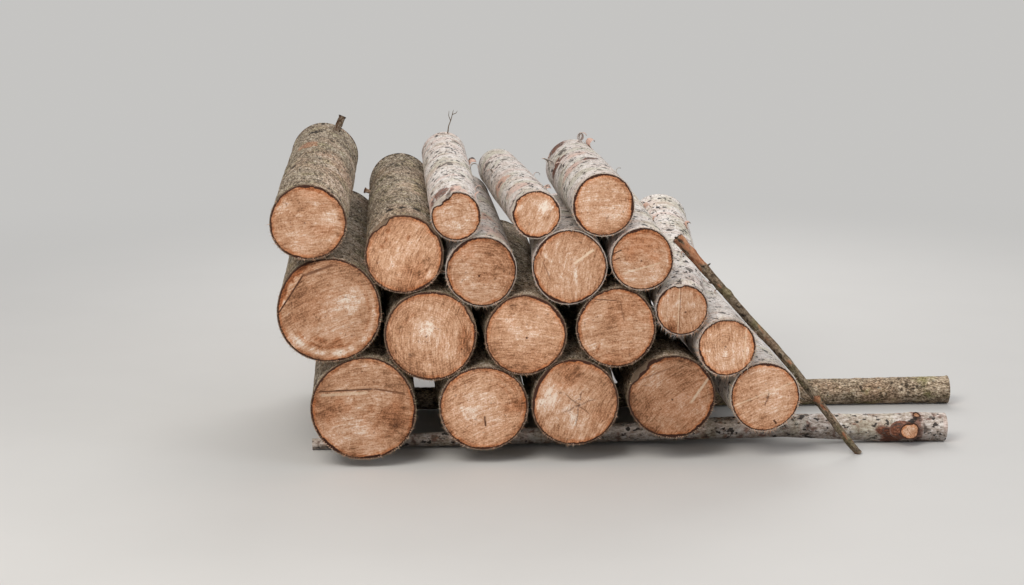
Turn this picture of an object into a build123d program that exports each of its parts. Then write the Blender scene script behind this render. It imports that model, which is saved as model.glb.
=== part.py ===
from build123d import *
import math
import os

os.makedirs("parts", exist_ok=True)

# Stack of one-metre sawn logs on two bearers, with a thin pole leaning on its sloping side.
# Frame: X to the right along the sawn fronts, Y from the fronts to the rear ends, Z up.
# The origin is on the floor under the middle of the stack. All sizes are millimetres.

# Lengthwise stations, measured from the middle of the logs
log_length = 1000.0
front_end = -log_length / 2
front_seat = -300.0
rear_seat = 150.0
waist = (front_seat + rear_seat) / 2

# Fit between pieces. Logs that lie a little askew to their neighbours are slimmer at the waist
seat_gap = 0.35
waisted_logs = ["second_row_log_3", "second_row_log_4", "second_row_log_5", "third_row_log_3", "third_row_log_5"]
waist_ease = 1.8
front_ease = 1.2
rear_ease = 3.0

# Bottom row, left to right: bark diameters over the two bearers and width less height in percent
bottom_front_diameters = [299, 255, 262, 244, 206]
bottom_rear_diameters = [295, 258, 281, 232, 209]
bottom_flatness = [1, 6, -2, 6, -2]
bottom_front_gaps = [58, 6, 18, 44]
bottom_rear_gaps = [48, 6, 10, 48]
first_log_from_middle = -606.0
first_log_rear_shift = -4.0

# Second row
second_front_diameters = [295, 262, 234, 231, 174]
second_rear_diameters = [290, 259, 233, 230, 182]
second_flatness = [-2, 1, 0, -2, -1]

# Third row, the fifth log lies lower down in the step on the right
third_front_diameters = [222, 199, 212, 179, 160]
third_rear_diameters = [215, 190, 205, 171, 176]
third_flatness = [-2, -1, -3, 0, 2]

# Top row
top_front_diameters = [217, 144, 140, 181]
top_rear_diameters = [219, 146, 139, 182]
top_flatness = [3, 2, 0, -5]

# How far each sawn front stands forward of the row, and how far each log is over or under length
bottom_forward = [6, -4, 3, 0, -6]
second_forward = [4, -3, 7, -5, 5]
third_forward = [-6, 5, 0, 6, -2]
top_forward = [8, 14, -4, 3]
bottom_overlength = [4, -12, 9, -6, 12]
second_overlength = [-8, 10, -3, 6, -14]
third_overlength = [12, -6, 4, -10, 8]
top_overlength = [-5, 9, 13, -7]

# Lean of the logs that sit up on one log, in degrees from straight above it towards the right
second_1_front_lean = -17.7
second_1_rear_lean = -17.1
second_4_front_lean = 33.0
third_4_front_lean = 16.0
top_1_front_lean = -11.8
top_1_rear_lean = -10.8
top_2_front_lean = -23.3
top_3_front_lean = -32.0
top_3_rear_lean = 50.0
top_4_front_lean = 25.5

# Saw cuts: most ends are a degree or two out of square, and some fronts were sawn in two strokes.
# Each second stroke: log, direction from the middle in degrees, where it starts as a share of the
# radius, and how far it slopes back in degrees.
out_of_square = 1.6
out_of_square_reach = 4.0
second_strokes = [
    ("bottom_log_1", 88, 0.53, 4),
    ("bottom_log_4", 135, 0.86, 62),
    ("bottom_log_5", 92, 0.26, 3),
    ("second_row_log_1", 137, 0.76, 48),
    ("third_row_log_5", 180, 0.10, 5),
    ("top_log_3", 165, 0.80, 55),
]
stroke_reach = 48.0

# Branch stub near the rear end of the first top log
log_stub_from_rear = 85.0
log_stub_diameter = 27.0
log_stub_length = 46.0
log_stub_lean = 24.0
log_stub_swelling = 26.0

# Front bearer: a bowed birch pole, thick end on the right
front_bearer_left = -760.0
front_bearer_right = 1120.0
front_bearer_thin = 34.0
front_bearer_thick = 84.0
front_bearer_crest = 64.0
front_bearer_rise = 0.0396

# Two sawn branches near the thick end of the front bearer: a large one forward, a small one up
branch_from_end = 140.0
branch_swelling = 6.0
large_branch_diameter = 46.0
large_branch_length = 34.0
small_branch_from_end = 96.0
small_branch_diameter = 26.0
small_branch_length = 12.0

# Rear bearer: a straighter pole lying flat on the floor
rear_bearer_left = -740.0
rear_bearer_right = 1250.0
rear_bearer_thin = 73.0
rear_bearer_thick = 90.0

# Leaning pole
pole_behind_fronts = 70.0
pole_top_diameter = 31.0
pole_foot_diameter = 23.0
pole_height = 640.0
pole_bend = 5.0
foot_inward = 24.0

# Points round the bark outlines of a log, a bearer and the pole
log_points = 16
bearer_points = 12
pole_points = 8


class Log:
    """One round log: its outline at each station and where its middle lies over the two bearers."""

    def __init__(self, name, number, front_diameter, rear_diameter, flatness, forward, overlength):
        self.name = name
        self.turn = math.radians(137.5 * number)
        self.front_radius = front_diameter / 2
        self.rear_radius = rear_diameter / 2
        self.flatness = flatness / 400
        self.front_y = front_end - forward
        self.rear_y = self.front_y + log_length + overlength
        self.front_rest = front_seat
        self.rear_rest = rear_seat
        self.front_spot = (0.0, 0.0)
        self.rear_spot = (0.0, 0.0)

    def middle(self, y):
        t = (y - self.front_rest) / (self.rear_rest - self.front_rest)
        x = self.front_spot[0] + (self.rear_spot[0] - self.front_spot[0]) * t
        z = self.front_spot[1] + (self.rear_spot[1] - self.front_spot[1]) * t
        return x, z

    def stations(self):
        if self.name in waisted_logs:
            return [self.front_y, front_seat, waist, rear_seat, self.rear_y]
        return [self.front_y, front_seat, rear_seat, self.rear_y]

    def full_radius(self, y):
        t = (y - front_seat) / (rear_seat - front_seat)
        return self.front_radius + (self.rear_radius - self.front_radius) * t

    def mean_radius(self, y):
        eases = {self.front_y: front_ease, waist: waist_ease, self.rear_y: rear_ease}
        places = self.stations()
        radii = [self.full_radius(place) - eases.get(place, 0.0) for place in places]
        if y <= places[0]:
            return radii[0]
        for k in range(len(places) - 1):
            if y <= places[k + 1]:
                t = (y - places[k]) / (places[k + 1] - places[k])
                return radii[k] + (radii[k + 1] - radii[k]) * t
        return radii[-1]

    def radius(self, y, angle):
        wave = self.flatness * math.cos(2 * angle)
        wave += 0.009 * math.cos(3 * angle + self.turn)
        wave += 0.004 * math.cos(4 * angle - 2 * self.turn)
        return self.mean_radius(y) * (1 + wave)

    def ring(self, y):
        """Bark outline at a station, round the log's own middle."""
        points = []
        for k in range(log_points):
            angle = 2 * math.pi * k / log_points
            reach = self.radius(y, angle)
            points.append((reach * math.cos(angle), reach * math.sin(angle)))
        return points

    def move_to(self, y, spot):
        if y < 0:
            self.front_rest = y
            self.front_spot = spot
        else:
            self.rear_rest = y
            self.rear_spot = spot


def bearer_top(y, x):
    """Height of the bearer's crest at x, on the front bearer or on the rear one."""
    if y == front_seat:
        return front_bearer_crest + front_bearer_rise * x
    t = (x - rear_bearer_left) / (rear_bearer_right - rear_bearer_left)
    return rear_bearer_thin + (rear_bearer_thick - rear_bearer_thin) * t


def gap_between(log, other, y):
    """Narrowest gap between the outlines of two logs at one station."""
    x, z = log.middle(y)
    other_x, other_z = other.middle(y)
    towards = math.atan2(other_z - z, other_x - x)
    narrowest = 1e9
    for k in range(-40, 41):
        angle = towards + math.radians(k)
        reach = log.radius(y, angle)
        dx = x + reach * math.cos(angle) - other_x
        dz = z + reach * math.sin(angle) - other_z
        gap = math.hypot(dx, dz) - other.radius(y, math.atan2(dz, dx))
        narrowest = min(narrowest, gap)
    return narrowest


def gap_to_bearer(log, y):
    """Narrowest gap between a log's underside and the crest of the bearer."""
    x, z = log.middle(y)
    narrowest = 1e9
    for k in range(-130, -49):
        angle = math.radians(k)
        reach = log.radius(y, angle)
        point_x = x + reach * math.cos(angle)
        point_z = z + reach * math.sin(angle)
        narrowest = min(narrowest, point_z - bearer_top(y, point_x))
    return narrowest


def rest_on_bearer(log, y, x):
    """Lower a log on to the bearer at a given x."""
    log.move_to(y, (x, bearer_top(y, x) + log.full_radius(y)))
    for _ in range(6):
        x_now, z_now = log.middle(y)
        log.move_to(y, (x_now, z_now + seat_gap - gap_to_bearer(log, y)))


def rest_beside(log, neighbour, y, gap):
    """Lay a log on the bearer, a given gap to the right of its neighbour."""
    x, z = neighbour.middle(y)
    x += neighbour.full_radius(y) + log.full_radius(y) + gap
    for _ in range(12):
        rest_on_bearer(log, y, x)
        x += gap - gap_between(log, neighbour, y)
    rest_on_bearer(log, y, x)


def rest_on(log, under, y, lean):
    """Sit a log on top of one other, leaning by a given angle from straight above it."""
    x, z = under.middle(y)
    lean = math.radians(lean)
    reach = under.full_radius(y) + log.full_radius(y)
    for _ in range(12):
        log.move_to(y, (x + reach * math.sin(lean), z + reach * math.cos(lean)))
        reach += seat_gap - gap_between(log, under, y)


def rest_between(log, left, right, y):
    """Settle a log in the hollow between two others until it bears on both."""
    left_x, left_z = left.middle(y)
    right_x, right_z = right.middle(y)
    dx = right_x - left_x
    dz = right_z - left_z
    apart = math.hypot(dx, dz)
    from_left = left.full_radius(y) + log.full_radius(y)
    from_right = right.full_radius(y) + log.full_radius(y)
    for _ in range(14):
        along = (from_left**2 - from_right**2 + apart**2) / (2 * apart)
        above = math.sqrt(max(from_left**2 - along**2, 1.0))
        x = left_x + (dx * along - dz * above) / apart
        z = left_z + (dz * along + dx * above) / apart
        log.move_to(y, (x, z))
        from_left += seat_gap - gap_between(log, left, y)
        from_right += seat_gap - gap_between(log, right, y)


def front_tip(log, other):
    """Foremost station that both logs reach, where they touch if they part towards the rear."""
    return max(log.front_y, other.front_y) - out_of_square_reach


def rear_tip(log, other):
    """Rearmost station that both logs reach, where they touch if they close towards the rear."""
    return min(log.rear_y, other.rear_y) + out_of_square_reach


def make_row(row_name, first_number, fronts, rears, flatness, forward, overlength):
    row = []
    for k in range(len(fronts)):
        name = row_name + "_log_" + str(k + 1)
        row.append(Log(name, first_number + k, fronts[k], rears[k], flatness[k], forward[k], overlength[k]))
    return row


bottom = make_row("bottom", 1, bottom_front_diameters, bottom_rear_diameters,
                  bottom_flatness, bottom_forward, bottom_overlength)
second = make_row("second_row", 6, second_front_diameters, second_rear_diameters,
                  second_flatness, second_forward, second_overlength)
third = make_row("third_row", 11, third_front_diameters, third_rear_diameters,
                 third_flatness, third_forward, third_overlength)
top = make_row("top", 16, top_front_diameters, top_rear_diameters,
               top_flatness, top_forward, top_overlength)
logs = bottom + second + third + top

# Bottom row on the bearers
for y, shift, gaps in ((front_seat, 0.0, bottom_front_gaps), (rear_seat, first_log_rear_shift, bottom_rear_gaps)):
    rest_on_bearer(bottom[0], y, first_log_from_middle + shift)
    for k in range(1, 5):
        rest_beside(bottom[k], bottom[k - 1], y, gaps[k - 1])

# Second row
rest_on(second[0], bottom[0], front_seat, second_1_front_lean)
rest_on(second[0], bottom[0], rear_seat, second_1_rear_lean)
rest_on(second[3], bottom[2], front_seat, second_4_front_lean)
rest_between(second[3], bottom[2], bottom[3], rear_seat)
for y in (front_seat, rear_seat):
    rest_between(second[1], bottom[0], bottom[1], y)
    rest_between(second[2], bottom[1], bottom[2], y)
    rest_between(second[4], bottom[3], bottom[4], y)

# Third row, the lower fifth log before the fourth, which comes to rest on it at the rear
for y in (front_seat, rear_seat):
    rest_between(third[0], second[0], second[1], y)
    rest_between(third[1], second[1], second[2], y)
    rest_between(third[2], second[2], second[3], y)
    rest_between(third[4], second[3], second[4], y)
rest_on(third[3], second[3], front_seat, third_4_front_lean)
rest_between(third[3], second[3], third[4], rear_seat)

# Top row
rest_on(top[0], second[0], front_seat, top_1_front_lean)
rest_on(top[0], second[0], rear_seat, top_1_rear_lean)
rest_on(top[1], third[1], front_seat, top_2_front_lean)
rest_between(top[1], third[0], third[1], rear_seat)
rest_on(top[2], third[2], front_tip(top[2], third[2]), top_3_front_lean)
rest_on(top[2], third[1], rear_tip(top[2], third[1]), top_3_rear_lean)
rest_on(top[3], third[2], front_seat, top_4_front_lean)
rest_between(top[3], third[2], third[3], rear_seat)

# Bring the middle of the whole stack over the origin
leftmost = min(log.middle(y)[0] + point[0] for log in logs for y in log.stations() for point in log.ring(y))
rightmost = max(front_bearer_right, rear_bearer_right)
sideways = -(leftmost + rightmost) / 2


def upright(x, y, z, across):
    """Plane square to a level direction, with its local Y up."""
    return Plane(origin=(x + sideways, y, z), x_dir=across, z_dir=cross(across, (0, 0, 1)))


def cross(a, b):
    return (a[1] * b[2] - a[2] * b[1], a[2] * b[0] - a[0] * b[2], a[0] * b[1] - a[1] * b[0])


def station_plane(log, y, lift, swing):
    """Plane across a log at y, through its middle, turned by two small angles."""
    x, z = log.middle(y)
    lift = math.radians(lift)
    swing = math.radians(swing)
    facing = (math.sin(swing), -math.cos(lift) * math.cos(swing), math.sin(lift))
    level = (math.cos(swing), math.sin(swing), 0)
    return Plane(origin=(x + sideways, y, z), x_dir=level, z_dir=facing)


def stroke_plane(log, direction, start, slope):
    """Plane of a second saw stroke, which slopes back from a line across the front."""
    x, z = log.middle(log.front_y)
    direction = math.radians(direction)
    slope = math.radians(slope)
    ux = math.cos(direction)
    uz = math.sin(direction)
    reach = start * log.full_radius(log.front_y)
    facing = (math.sin(slope) * ux, -math.cos(slope), math.sin(slope) * uz)
    return Plane(origin=(x + sideways + reach * ux, log.front_y, z + reach * uz), z_dir=facing)


# The nineteen logs, each skinned through its outlines, with the two sawn ends out of square
for log in logs:
    strokes = [stroke for stroke in second_strokes if stroke[0] == log.name]
    stub_y = log.rear_y - log_stub_from_rear
    places = log.stations()
    if strokes:
        places.append(log.front_y + stroke_reach)
    if log is top[0]:
        places += [stub_y - log_stub_swelling, stub_y + log_stub_swelling]
    with BuildPart() as log_body:
        for y in sorted(places):
            lift = 0.0
            swing = 0.0
            if y == log.front_y:
                lift = out_of_square * math.sin(log.turn)
                swing = out_of_square * math.cos(1.7 * log.turn)
            if y == log.rear_y:
                lift = out_of_square * math.cos(log.turn)
                swing = out_of_square * math.sin(1.7 * log.turn)
            with BuildSketch(station_plane(log, y, lift, swing)):
                with BuildLine():
                    Spline(*log.ring(y), periodic=True)
                make_face()
        loft(ruled=True)
        if log is top[0]:
            x, z = log.middle(stub_y)
            lean = math.radians(log_stub_lean)
            stub_dir = (math.sin(lean), 0.2, math.cos(lean))
            with BuildSketch(Plane(origin=(x + sideways, stub_y, z), z_dir=stub_dir)):
                Circle(log_stub_diameter / 2)
            extrude(amount=log.full_radius(stub_y) + log_stub_length)
        for _, direction, start, slope in strokes:
            split(bisect_by=stroke_plane(log, direction, start, slope), keep=Keep.BOTTOM)
    log_body.part.label = log.name
    export_step(log_body.part, "parts/" + log.name + ".step")


def bearer_ring(y, crest, diameter):
    """Outline of a bearer: an upright oval, with its highest point at the crest."""
    radius = diameter / 2
    ring = []
    for k in range(bearer_points):
        angle = 2 * math.pi * k / bearer_points
        reach = radius * (1 - 0.02 * (1 + math.cos(2 * angle)))
        ring.append((y + reach * math.cos(angle), crest - radius + reach * math.sin(angle)))
    return ring


def front_bearer_diameter(x):
    grown = (x - front_bearer_left) / (front_bearer_right - front_bearer_left)
    return front_bearer_thin + (front_bearer_thick - front_bearer_thin) * grown


# Front bearer: its crest is straight under the logs, and it bows up off the floor there
first_log_x = bottom[0].front_spot[0]
after_last_log = bottom[4].front_spot[0] + bottom[4].front_radius
branch_x = front_bearer_right - branch_from_end
small_branch_x = front_bearer_right - small_branch_from_end
bearer_stations = []
for x in (front_bearer_left, front_bearer_right):
    bearer_stations.append((x, front_bearer_diameter(x), front_bearer_diameter(x)))
for k in range(4):
    x = first_log_x + (after_last_log - first_log_x) * k / 3
    bearer_stations.append((x, bearer_top(front_seat, x), front_bearer_diameter(x)))
for x in (branch_x - large_branch_diameter, small_branch_x + small_branch_diameter):
    swollen = front_bearer_diameter(x) + branch_swelling
    bearer_stations.append((x, swollen, swollen))
bearer_stations.sort()
with BuildPart() as front_bearer:
    for x, crest, diameter in bearer_stations:
        with BuildSketch(upright(x, 0, 0, (0, 1, 0))):
            with BuildLine():
                Spline(*bearer_ring(front_seat, crest, diameter), periodic=True)
            make_face()
    loft(ruled=True)
    large_middle = front_bearer_diameter(branch_x) / 2
    with BuildSketch(Plane(origin=(branch_x + sideways, front_seat, large_middle), z_dir=(0.35, -0.9, 0.12))):
        Circle(large_branch_diameter / 2)
    extrude(amount=large_middle + large_branch_length, taper=4)
    with BuildSketch(Plane(origin=(small_branch_x + sideways, front_seat, large_middle), z_dir=(0.1, -0.45, 0.9))):
        Circle(small_branch_diameter / 2)
    extrude(amount=large_middle + small_branch_length, taper=3)
front_bearer.part.label = "front_bearer"
export_step(front_bearer.part, "parts/front_bearer.step")

# Rear bearer
with BuildPart() as rear_bearer:
    for x in (rear_bearer_left, rear_bearer_right):
        crest = bearer_top(rear_seat, x)
        with BuildSketch(upright(x, 0, 0, (0, 1, 0))):
            with BuildLine():
                Spline(*bearer_ring(rear_seat, crest, crest), periodic=True)
            make_face()
    loft(ruled=True)
rear_bearer.part.label = "rear_bearer"
export_step(rear_bearer.part, "parts/rear_bearer.step")


# Leaning pole: it lies against the two birch logs of the sloping side
pole_y = front_end + pole_behind_fronts


def reach_along(log, angle):
    """Farthest point of a log's outline in a direction, at the pole's station."""
    best = (-1e9, 0.0, 0.0)
    x, z = log.middle(pole_y)
    for k in range(-60, 61):
        turn = angle + math.radians(k)
        r = log.radius(pole_y, turn)
        px = x + r * math.cos(turn)
        pz = z + r * math.sin(turn)
        best = max(best, (px * math.cos(angle) + pz * math.sin(angle), px, pz))
    return best


def pole_radius(share):
    """Radius at a share of the pole's length down from its top."""
    return (pole_top_diameter + (pole_foot_diameter - pole_top_diameter) * share) / 2


upper_rest = second[4]
lower_rest = bottom[4]
upper_share = 0.52
lower_share = 0.75
low = math.radians(20)
high = math.radians(70)
for _ in range(40):
    facing = (low + high) / 2
    upper_need = reach_along(upper_rest, facing)[0] + pole_radius(upper_share)
    lower_need = reach_along(lower_rest, facing)[0] + pole_radius(lower_share)
    if upper_need > lower_need:
        high = facing
    else:
        low = facing
offset = upper_need + seat_gap
outward = (math.cos(facing), math.sin(facing))
downhill = (math.sin(facing), -math.cos(facing))


def pole_point(z, bend):
    """Point of the pole's middle line at a height, bent outward from the straight line."""
    along = (z - offset * outward[1]) / downhill[1]
    x = offset * outward[0] + downhill[0] * along
    return x + bend * outward[0], z + bend * outward[1]


def pole_ring(radius):
    ring = []
    for k in range(pole_points):
        angle = 2 * math.pi * k / pole_points
        ring.append((radius * math.cos(angle), radius * math.sin(angle)))
    return ring


upper_touch = reach_along(upper_rest, facing)[2]
lower_touch = reach_along(lower_rest, facing)[2]
between_touches = (upper_touch + lower_touch) / 2
pole_spots = [
    (pole_point(pole_height, pole_bend), 0.0),
    (pole_point((pole_height + upper_touch) / 2, 0.6 * pole_bend), 0.3),
    (pole_point(upper_touch, 0.0), upper_share),
    (pole_point(between_touches, 0.5 * pole_bend), (upper_share + lower_share) / 2),
    (pole_point(lower_touch, 0.0), lower_share),
    (pole_point(1.5 * pole_foot_diameter, -foot_inward), 0.97),
    (pole_point(-pole_foot_diameter, -foot_inward - 2.0), 1.0),
]
with BuildPart() as leaning_pole:
    for (x, z), share in pole_spots:
        with BuildSketch(Plane(origin=(x + sideways, pole_y, z), x_dir=(0, 1, 0), z_dir=(downhill[0], 0, downhill[1]))):
            with BuildLine():
                Spline(*pole_ring(pole_radius(share)), periodic=True)
            make_face()
    loft(ruled=True)
    split(bisect_by=Plane.XY, keep=Keep.TOP)
leaning_pole.part.label = "leaning_pole"
export_step(leaning_pole.part, "parts/leaning_pole.step")
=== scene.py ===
# %% [markdown]
# # A stack of sawn logs
# The stack is nineteen one-metre rounds of spruce and birch on two bearer poles, with a thin pole
# leaning on its sloping side. The solids give every log its place and size; this script gives
# each one its bark and its sawn ends. Everything is in metres, in the frame of the solids.

# %% Load the solids
import math
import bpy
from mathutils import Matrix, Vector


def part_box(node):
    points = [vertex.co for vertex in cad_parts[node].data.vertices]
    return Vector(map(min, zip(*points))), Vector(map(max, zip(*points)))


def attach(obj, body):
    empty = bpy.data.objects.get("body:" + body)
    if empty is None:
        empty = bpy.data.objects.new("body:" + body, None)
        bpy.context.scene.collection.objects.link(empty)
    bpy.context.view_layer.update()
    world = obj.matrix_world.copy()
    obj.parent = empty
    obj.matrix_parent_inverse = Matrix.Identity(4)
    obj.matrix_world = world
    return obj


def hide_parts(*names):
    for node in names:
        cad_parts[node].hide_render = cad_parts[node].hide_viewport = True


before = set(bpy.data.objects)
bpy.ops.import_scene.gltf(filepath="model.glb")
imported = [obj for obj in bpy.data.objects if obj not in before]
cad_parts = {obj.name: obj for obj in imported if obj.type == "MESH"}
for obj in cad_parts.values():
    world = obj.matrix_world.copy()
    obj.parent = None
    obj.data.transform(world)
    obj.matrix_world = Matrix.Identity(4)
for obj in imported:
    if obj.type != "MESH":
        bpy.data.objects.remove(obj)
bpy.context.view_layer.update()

from types import SimpleNamespace

import bpy
import numpy as np
from mathutils import Vector
from mathutils.bvhtree import BVHTree

# %% [markdown]
# ## Camera
# A long lens a little above the stack and almost square to the sawn fronts: parallel edges of the
# logs run to a point high above the stack, which gives the downward tilt and the small turn.

# %% Camera
picture_width = 1024
lens_in_pixels = 2000.0
film_width = 36.0
tilt_down = 11.08
turn_right = 3.15
camera_data = bpy.data.cameras.new("camera")
camera_data.sensor_width = film_width
camera_data.lens = lens_in_pixels / picture_width * film_width
camera_data.clip_end = 100.0
camera = bpy.data.objects.new("camera", camera_data)
camera.location = (-0.683, -6.007, 1.584)
camera.rotation_euler = (math.radians(90 - tilt_down), 0, math.radians(-turn_right))
bpy.context.scene.collection.objects.link(camera)
bpy.context.scene.camera = camera
bpy.context.scene.view_settings.view_transform = "Standard"
print("lens", round(camera_data.lens, 1), "mm")

# %% [markdown]
# ## Shader arithmetic
# Finishes are easier to read as sums than as wired boxes. `Wire` wraps a socket so that `a * b + c`
# adds the Math nodes by itself.

# %% Wires
def reckoning(operation, swapped=False):
    def method(self, other):
        first, second = (other, self) if swapped else (self, other)
        return self.finish.reckon(operation, first, second)
    return method


class Wire:
    def __init__(self, finish, socket):
        self.finish = finish
        self.socket = socket

    __add__, __radd__ = reckoning("ADD"), reckoning("ADD", swapped=True)
    __sub__, __rsub__ = reckoning("SUBTRACT"), reckoning("SUBTRACT", swapped=True)
    __mul__, __rmul__ = reckoning("MULTIPLY"), reckoning("MULTIPLY", swapped=True)


# %% [markdown]
# `Finish` holds one material and makes any node from its type, its settings and what goes into its
# sockets. The other methods only give the nodes used most a short name: noise in a stretched
# space, a soft step, and coats of colour laid over each other.

# %% Finishes
class Finish:
    def __init__(self, name, tree=None):
        if tree is None:
            self.material = bpy.data.materials.new(name)
            self.material.use_nodes = True
            tree = self.material.node_tree
        self.tree = tree
        self.tree.nodes.clear()

    def node(self, kind, settings, sockets, output=None):
        node = self.tree.nodes.new(kind)
        for name, value in settings.items():
            if name == "stops":
                self.set_stops(node.color_ramp.elements, value)
            else:
                setattr(node, name, value)
        for name, value in sockets.items():
            socket = self.free_socket(node, name)
            if isinstance(value, Wire):
                self.tree.links.new(value.socket, socket)
            elif socket.type == "RGBA" and len(value) == 3:
                socket.default_value = (*value, 1.0)
            else:
                socket.default_value = value
        outputs = [s for s in node.outputs if s.enabled] or [None]
        return Wire(self, outputs[0] if output is None else node.outputs[output])

    def free_socket(self, node, name):
        if isinstance(name, int):
            return node.inputs[name]
        return next(s for s in node.inputs if s.name == name and s.enabled and not s.is_linked)

    def set_stops(self, elements, stops):
        while len(elements) < len(stops):
            elements.new(0.5)
        for element, (place, colour) in zip(elements, stops):
            element.position = place
            element.color = (*colour, 1.0)

    def reckon(self, operation, a, b):
        return self.node("ShaderNodeMath", {"operation": operation}, {0: a, 1: b})

    def size(self, value):
        return self.node("ShaderNodeMath", {"operation": "ABSOLUTE"}, {0: value})

    def value(self, name, output="Fac"):
        return self.node("ShaderNodeAttribute", {"attribute_name": name}, {}, output)

    def place(self):
        return self.node("ShaderNodeTexCoord", {}, {}, "Object")

    def stretched(self, vector, stretch):
        settings = {"operation": "MULTIPLY"}
        return self.node("ShaderNodeVectorMath", settings, {0: vector, 1: stretch})

    def length(self, vector):
        settings = {"operation": "LENGTH"}
        return self.node("ShaderNodeVectorMath", settings, {"Vector": vector}, "Value")

    def part(self, vector, axis):
        return self.node("ShaderNodeSeparateXYZ", {}, {"Vector": vector}, axis)

    def noise(self, vector, scale, detail=3.0, roughness=0.55, stretch=None):
        if stretch:
            vector = self.stretched(vector, stretch)
        sockets = {"Vector": vector, "Scale": scale, "Detail": detail, "Roughness": roughness}
        return self.node("ShaderNodeTexNoise", {}, sockets, 0)

    def step(self, value, low, high):
        settings = {"interpolation_type": "SMOOTHSTEP"}
        sockets = {"Value": value, "From Min": low, "From Max": high, "To Min": 0.0, "To Max": 1.0}
        return self.node("ShaderNodeMapRange", settings, sockets, 0)

    def mix(self, share, first, second, way="MIX"):
        settings = {"data_type": "RGBA", "blend_type": way}
        return self.node("ShaderNodeMix", settings, {"Factor": share, "A": first, "B": second})

    def coated(self, colour, *coats, way="MIX"):
        """A colour under coats: each one's share of the surface and its colour."""
        for share, coat in coats:
            colour = self.mix(share, colour, coat, way)
        return colour

    def tinted(self, colour, *coats):
        return self.coated(colour, *coats, way="MULTIPLY")

    def ramp(self, value, *stops):
        """Colours along a value: each stop is its place and its colour."""
        return self.node("ShaderNodeValToRGB", {"stops": stops}, {0: value})

    def grey(self, value):
        sockets = {"Red": value, "Green": value, "Blue": value}
        return self.node("ShaderNodeCombineColor", {}, sockets)

    def surface(self, colour, roughness, height, depth, shine):
        sockets = {"Strength": 1.0, "Distance": depth, "Height": height}
        bump = self.node("ShaderNodeBump", {}, sockets)
        sockets = {"Base Color": colour, "Roughness": roughness, "Specular IOR Level": shine,
                   "Normal": bump}
        shader = self.node("ShaderNodeBsdfPrincipled", {}, sockets)
        self.node("ShaderNodeOutputMaterial", {}, {"Surface": shader})
        print(self.material.name, "has", len(self.tree.nodes), "nodes")
        return self.material


# %% [markdown]
# ## Floor and light
# A plain pale floor stands in for the ground. Far from the stack it fades into the one tone of the
# backdrop, but only where it is seen: the light that it throws back on the logs stays a floor's.

# %% Floor
backdrop_tone = (0.56, 0.553, 0.54)
fade_from, fade_to = 1.6, 5.0


def seen_rays(finish):
    """1 for what is seen straight, in a mirror or through glass; 0 for light on the stack."""
    camera_ray, glossy_ray, clear_ray = [
        finish.node("ShaderNodeLightPath", {}, {}, kind)
        for kind in ("Is Camera Ray", "Is Glossy Ray", "Is Transmission Ray")]
    return camera_ray + glossy_ray + clear_ray


bpy.ops.mesh.primitive_plane_add(size=80.0, location=(0, 0, 0))
floor = bpy.context.object
floor.name = "floor"
ground = Finish("pale floor")
floor_grain = ground.noise(ground.place(), 3.0, 2.0)
floor_colour = ground.mix(floor_grain, (0.62, 0.61, 0.595), (0.65, 0.64, 0.625))
near = ground.node("ShaderNodeBsdfPrincipled", {}, {
    "Base Color": floor_colour, "Roughness": floor_grain * 0.1 + 0.85})
far = ground.node("ShaderNodeEmission", {}, {"Color": backdrop_tone, "Strength": 1.0})
distance = ground.length(ground.stretched(ground.place(), (0.8, 1.0, 1.0)))
far_share = ground.step(distance, fade_from, fade_to) * seen_rays(ground)
floor_mixed = ground.node("ShaderNodeMixShader", {}, {0: far_share, 1: near, 2: far})
ground.node("ShaderNodeOutputMaterial", {}, {"Surface": floor_mixed})
floor.data.materials.append(ground.material)
print("floor of", round(floor.dimensions.x), "m, fading from", fade_from, "to", fade_to, "m")

# %% [markdown]
# The sky is the even light of an overcast day, so that the gaps between the logs stay dark. Seen
# straight, it has the tone of the backdrop.

# %% Sky
world = bpy.data.worlds.new("sky")
bpy.context.scene.world = world
world.use_nodes = True
sky = Finish("sky", world.node_tree)
sky_light = sky.node("ShaderNodeBackground", {}, {"Color": (0.97, 0.98, 1.0), "Strength": 0.44})
sky_seen = sky.node("ShaderNodeBackground", {}, {"Color": backdrop_tone, "Strength": 1.0})
sky_mixed = sky.node("ShaderNodeMixShader", {}, {0: seen_rays(sky), 1: sky_light, 2: sky_seen})
sky.node("ShaderNodeOutputWorld", {}, {"Surface": sky_mixed})
print("sky has", len(world.node_tree.nodes), "nodes")

# %% [markdown]
# Three wide, soft lamps give the logs some form: the key above and to the left, a weak fill from
# the right, and one behind for the rear ends.

# %% Lamps
def soft_lamp(name, place, aim, size, power, colour):
    data = bpy.data.lights.new(name, "AREA")
    data.shape = "DISK"
    data.size = size
    data.energy = power
    data.color = colour
    lamp = bpy.data.objects.new(name, data)
    lamp.location = place
    lamp.rotation_euler = (Vector(aim) - Vector(place)).to_track_quat("-Z", "Y").to_euler()
    bpy.context.scene.collection.objects.link(lamp)
    print(name, "lamp of", power, "W")


soft_lamp("key", (-2.2, -3.6, 4.2), (-0.2, 0, 0.4), 3.0, 180, (1.0, 0.96, 0.90))
soft_lamp("fill", (3.5, -3.0, 2.4), (0, 0, 0.3), 2.5, 40, (0.95, 0.97, 1.0))
soft_lamp("behind", (0.5, 3.8, 3.4), (0, 0, 0.4), 3.0, 95, (1.0, 0.98, 0.95))

# %% [markdown]
# ## Rough patterns in plain numbers
# Bark is shaped in the mesh, not only in its colour, so its pattern is worked out here as numbers.
# `grain` is smooth random waviness: random values at the corners of a grid, blended in between.
# The values come from a hash of whole numbers, so they are the same on every run.

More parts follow.
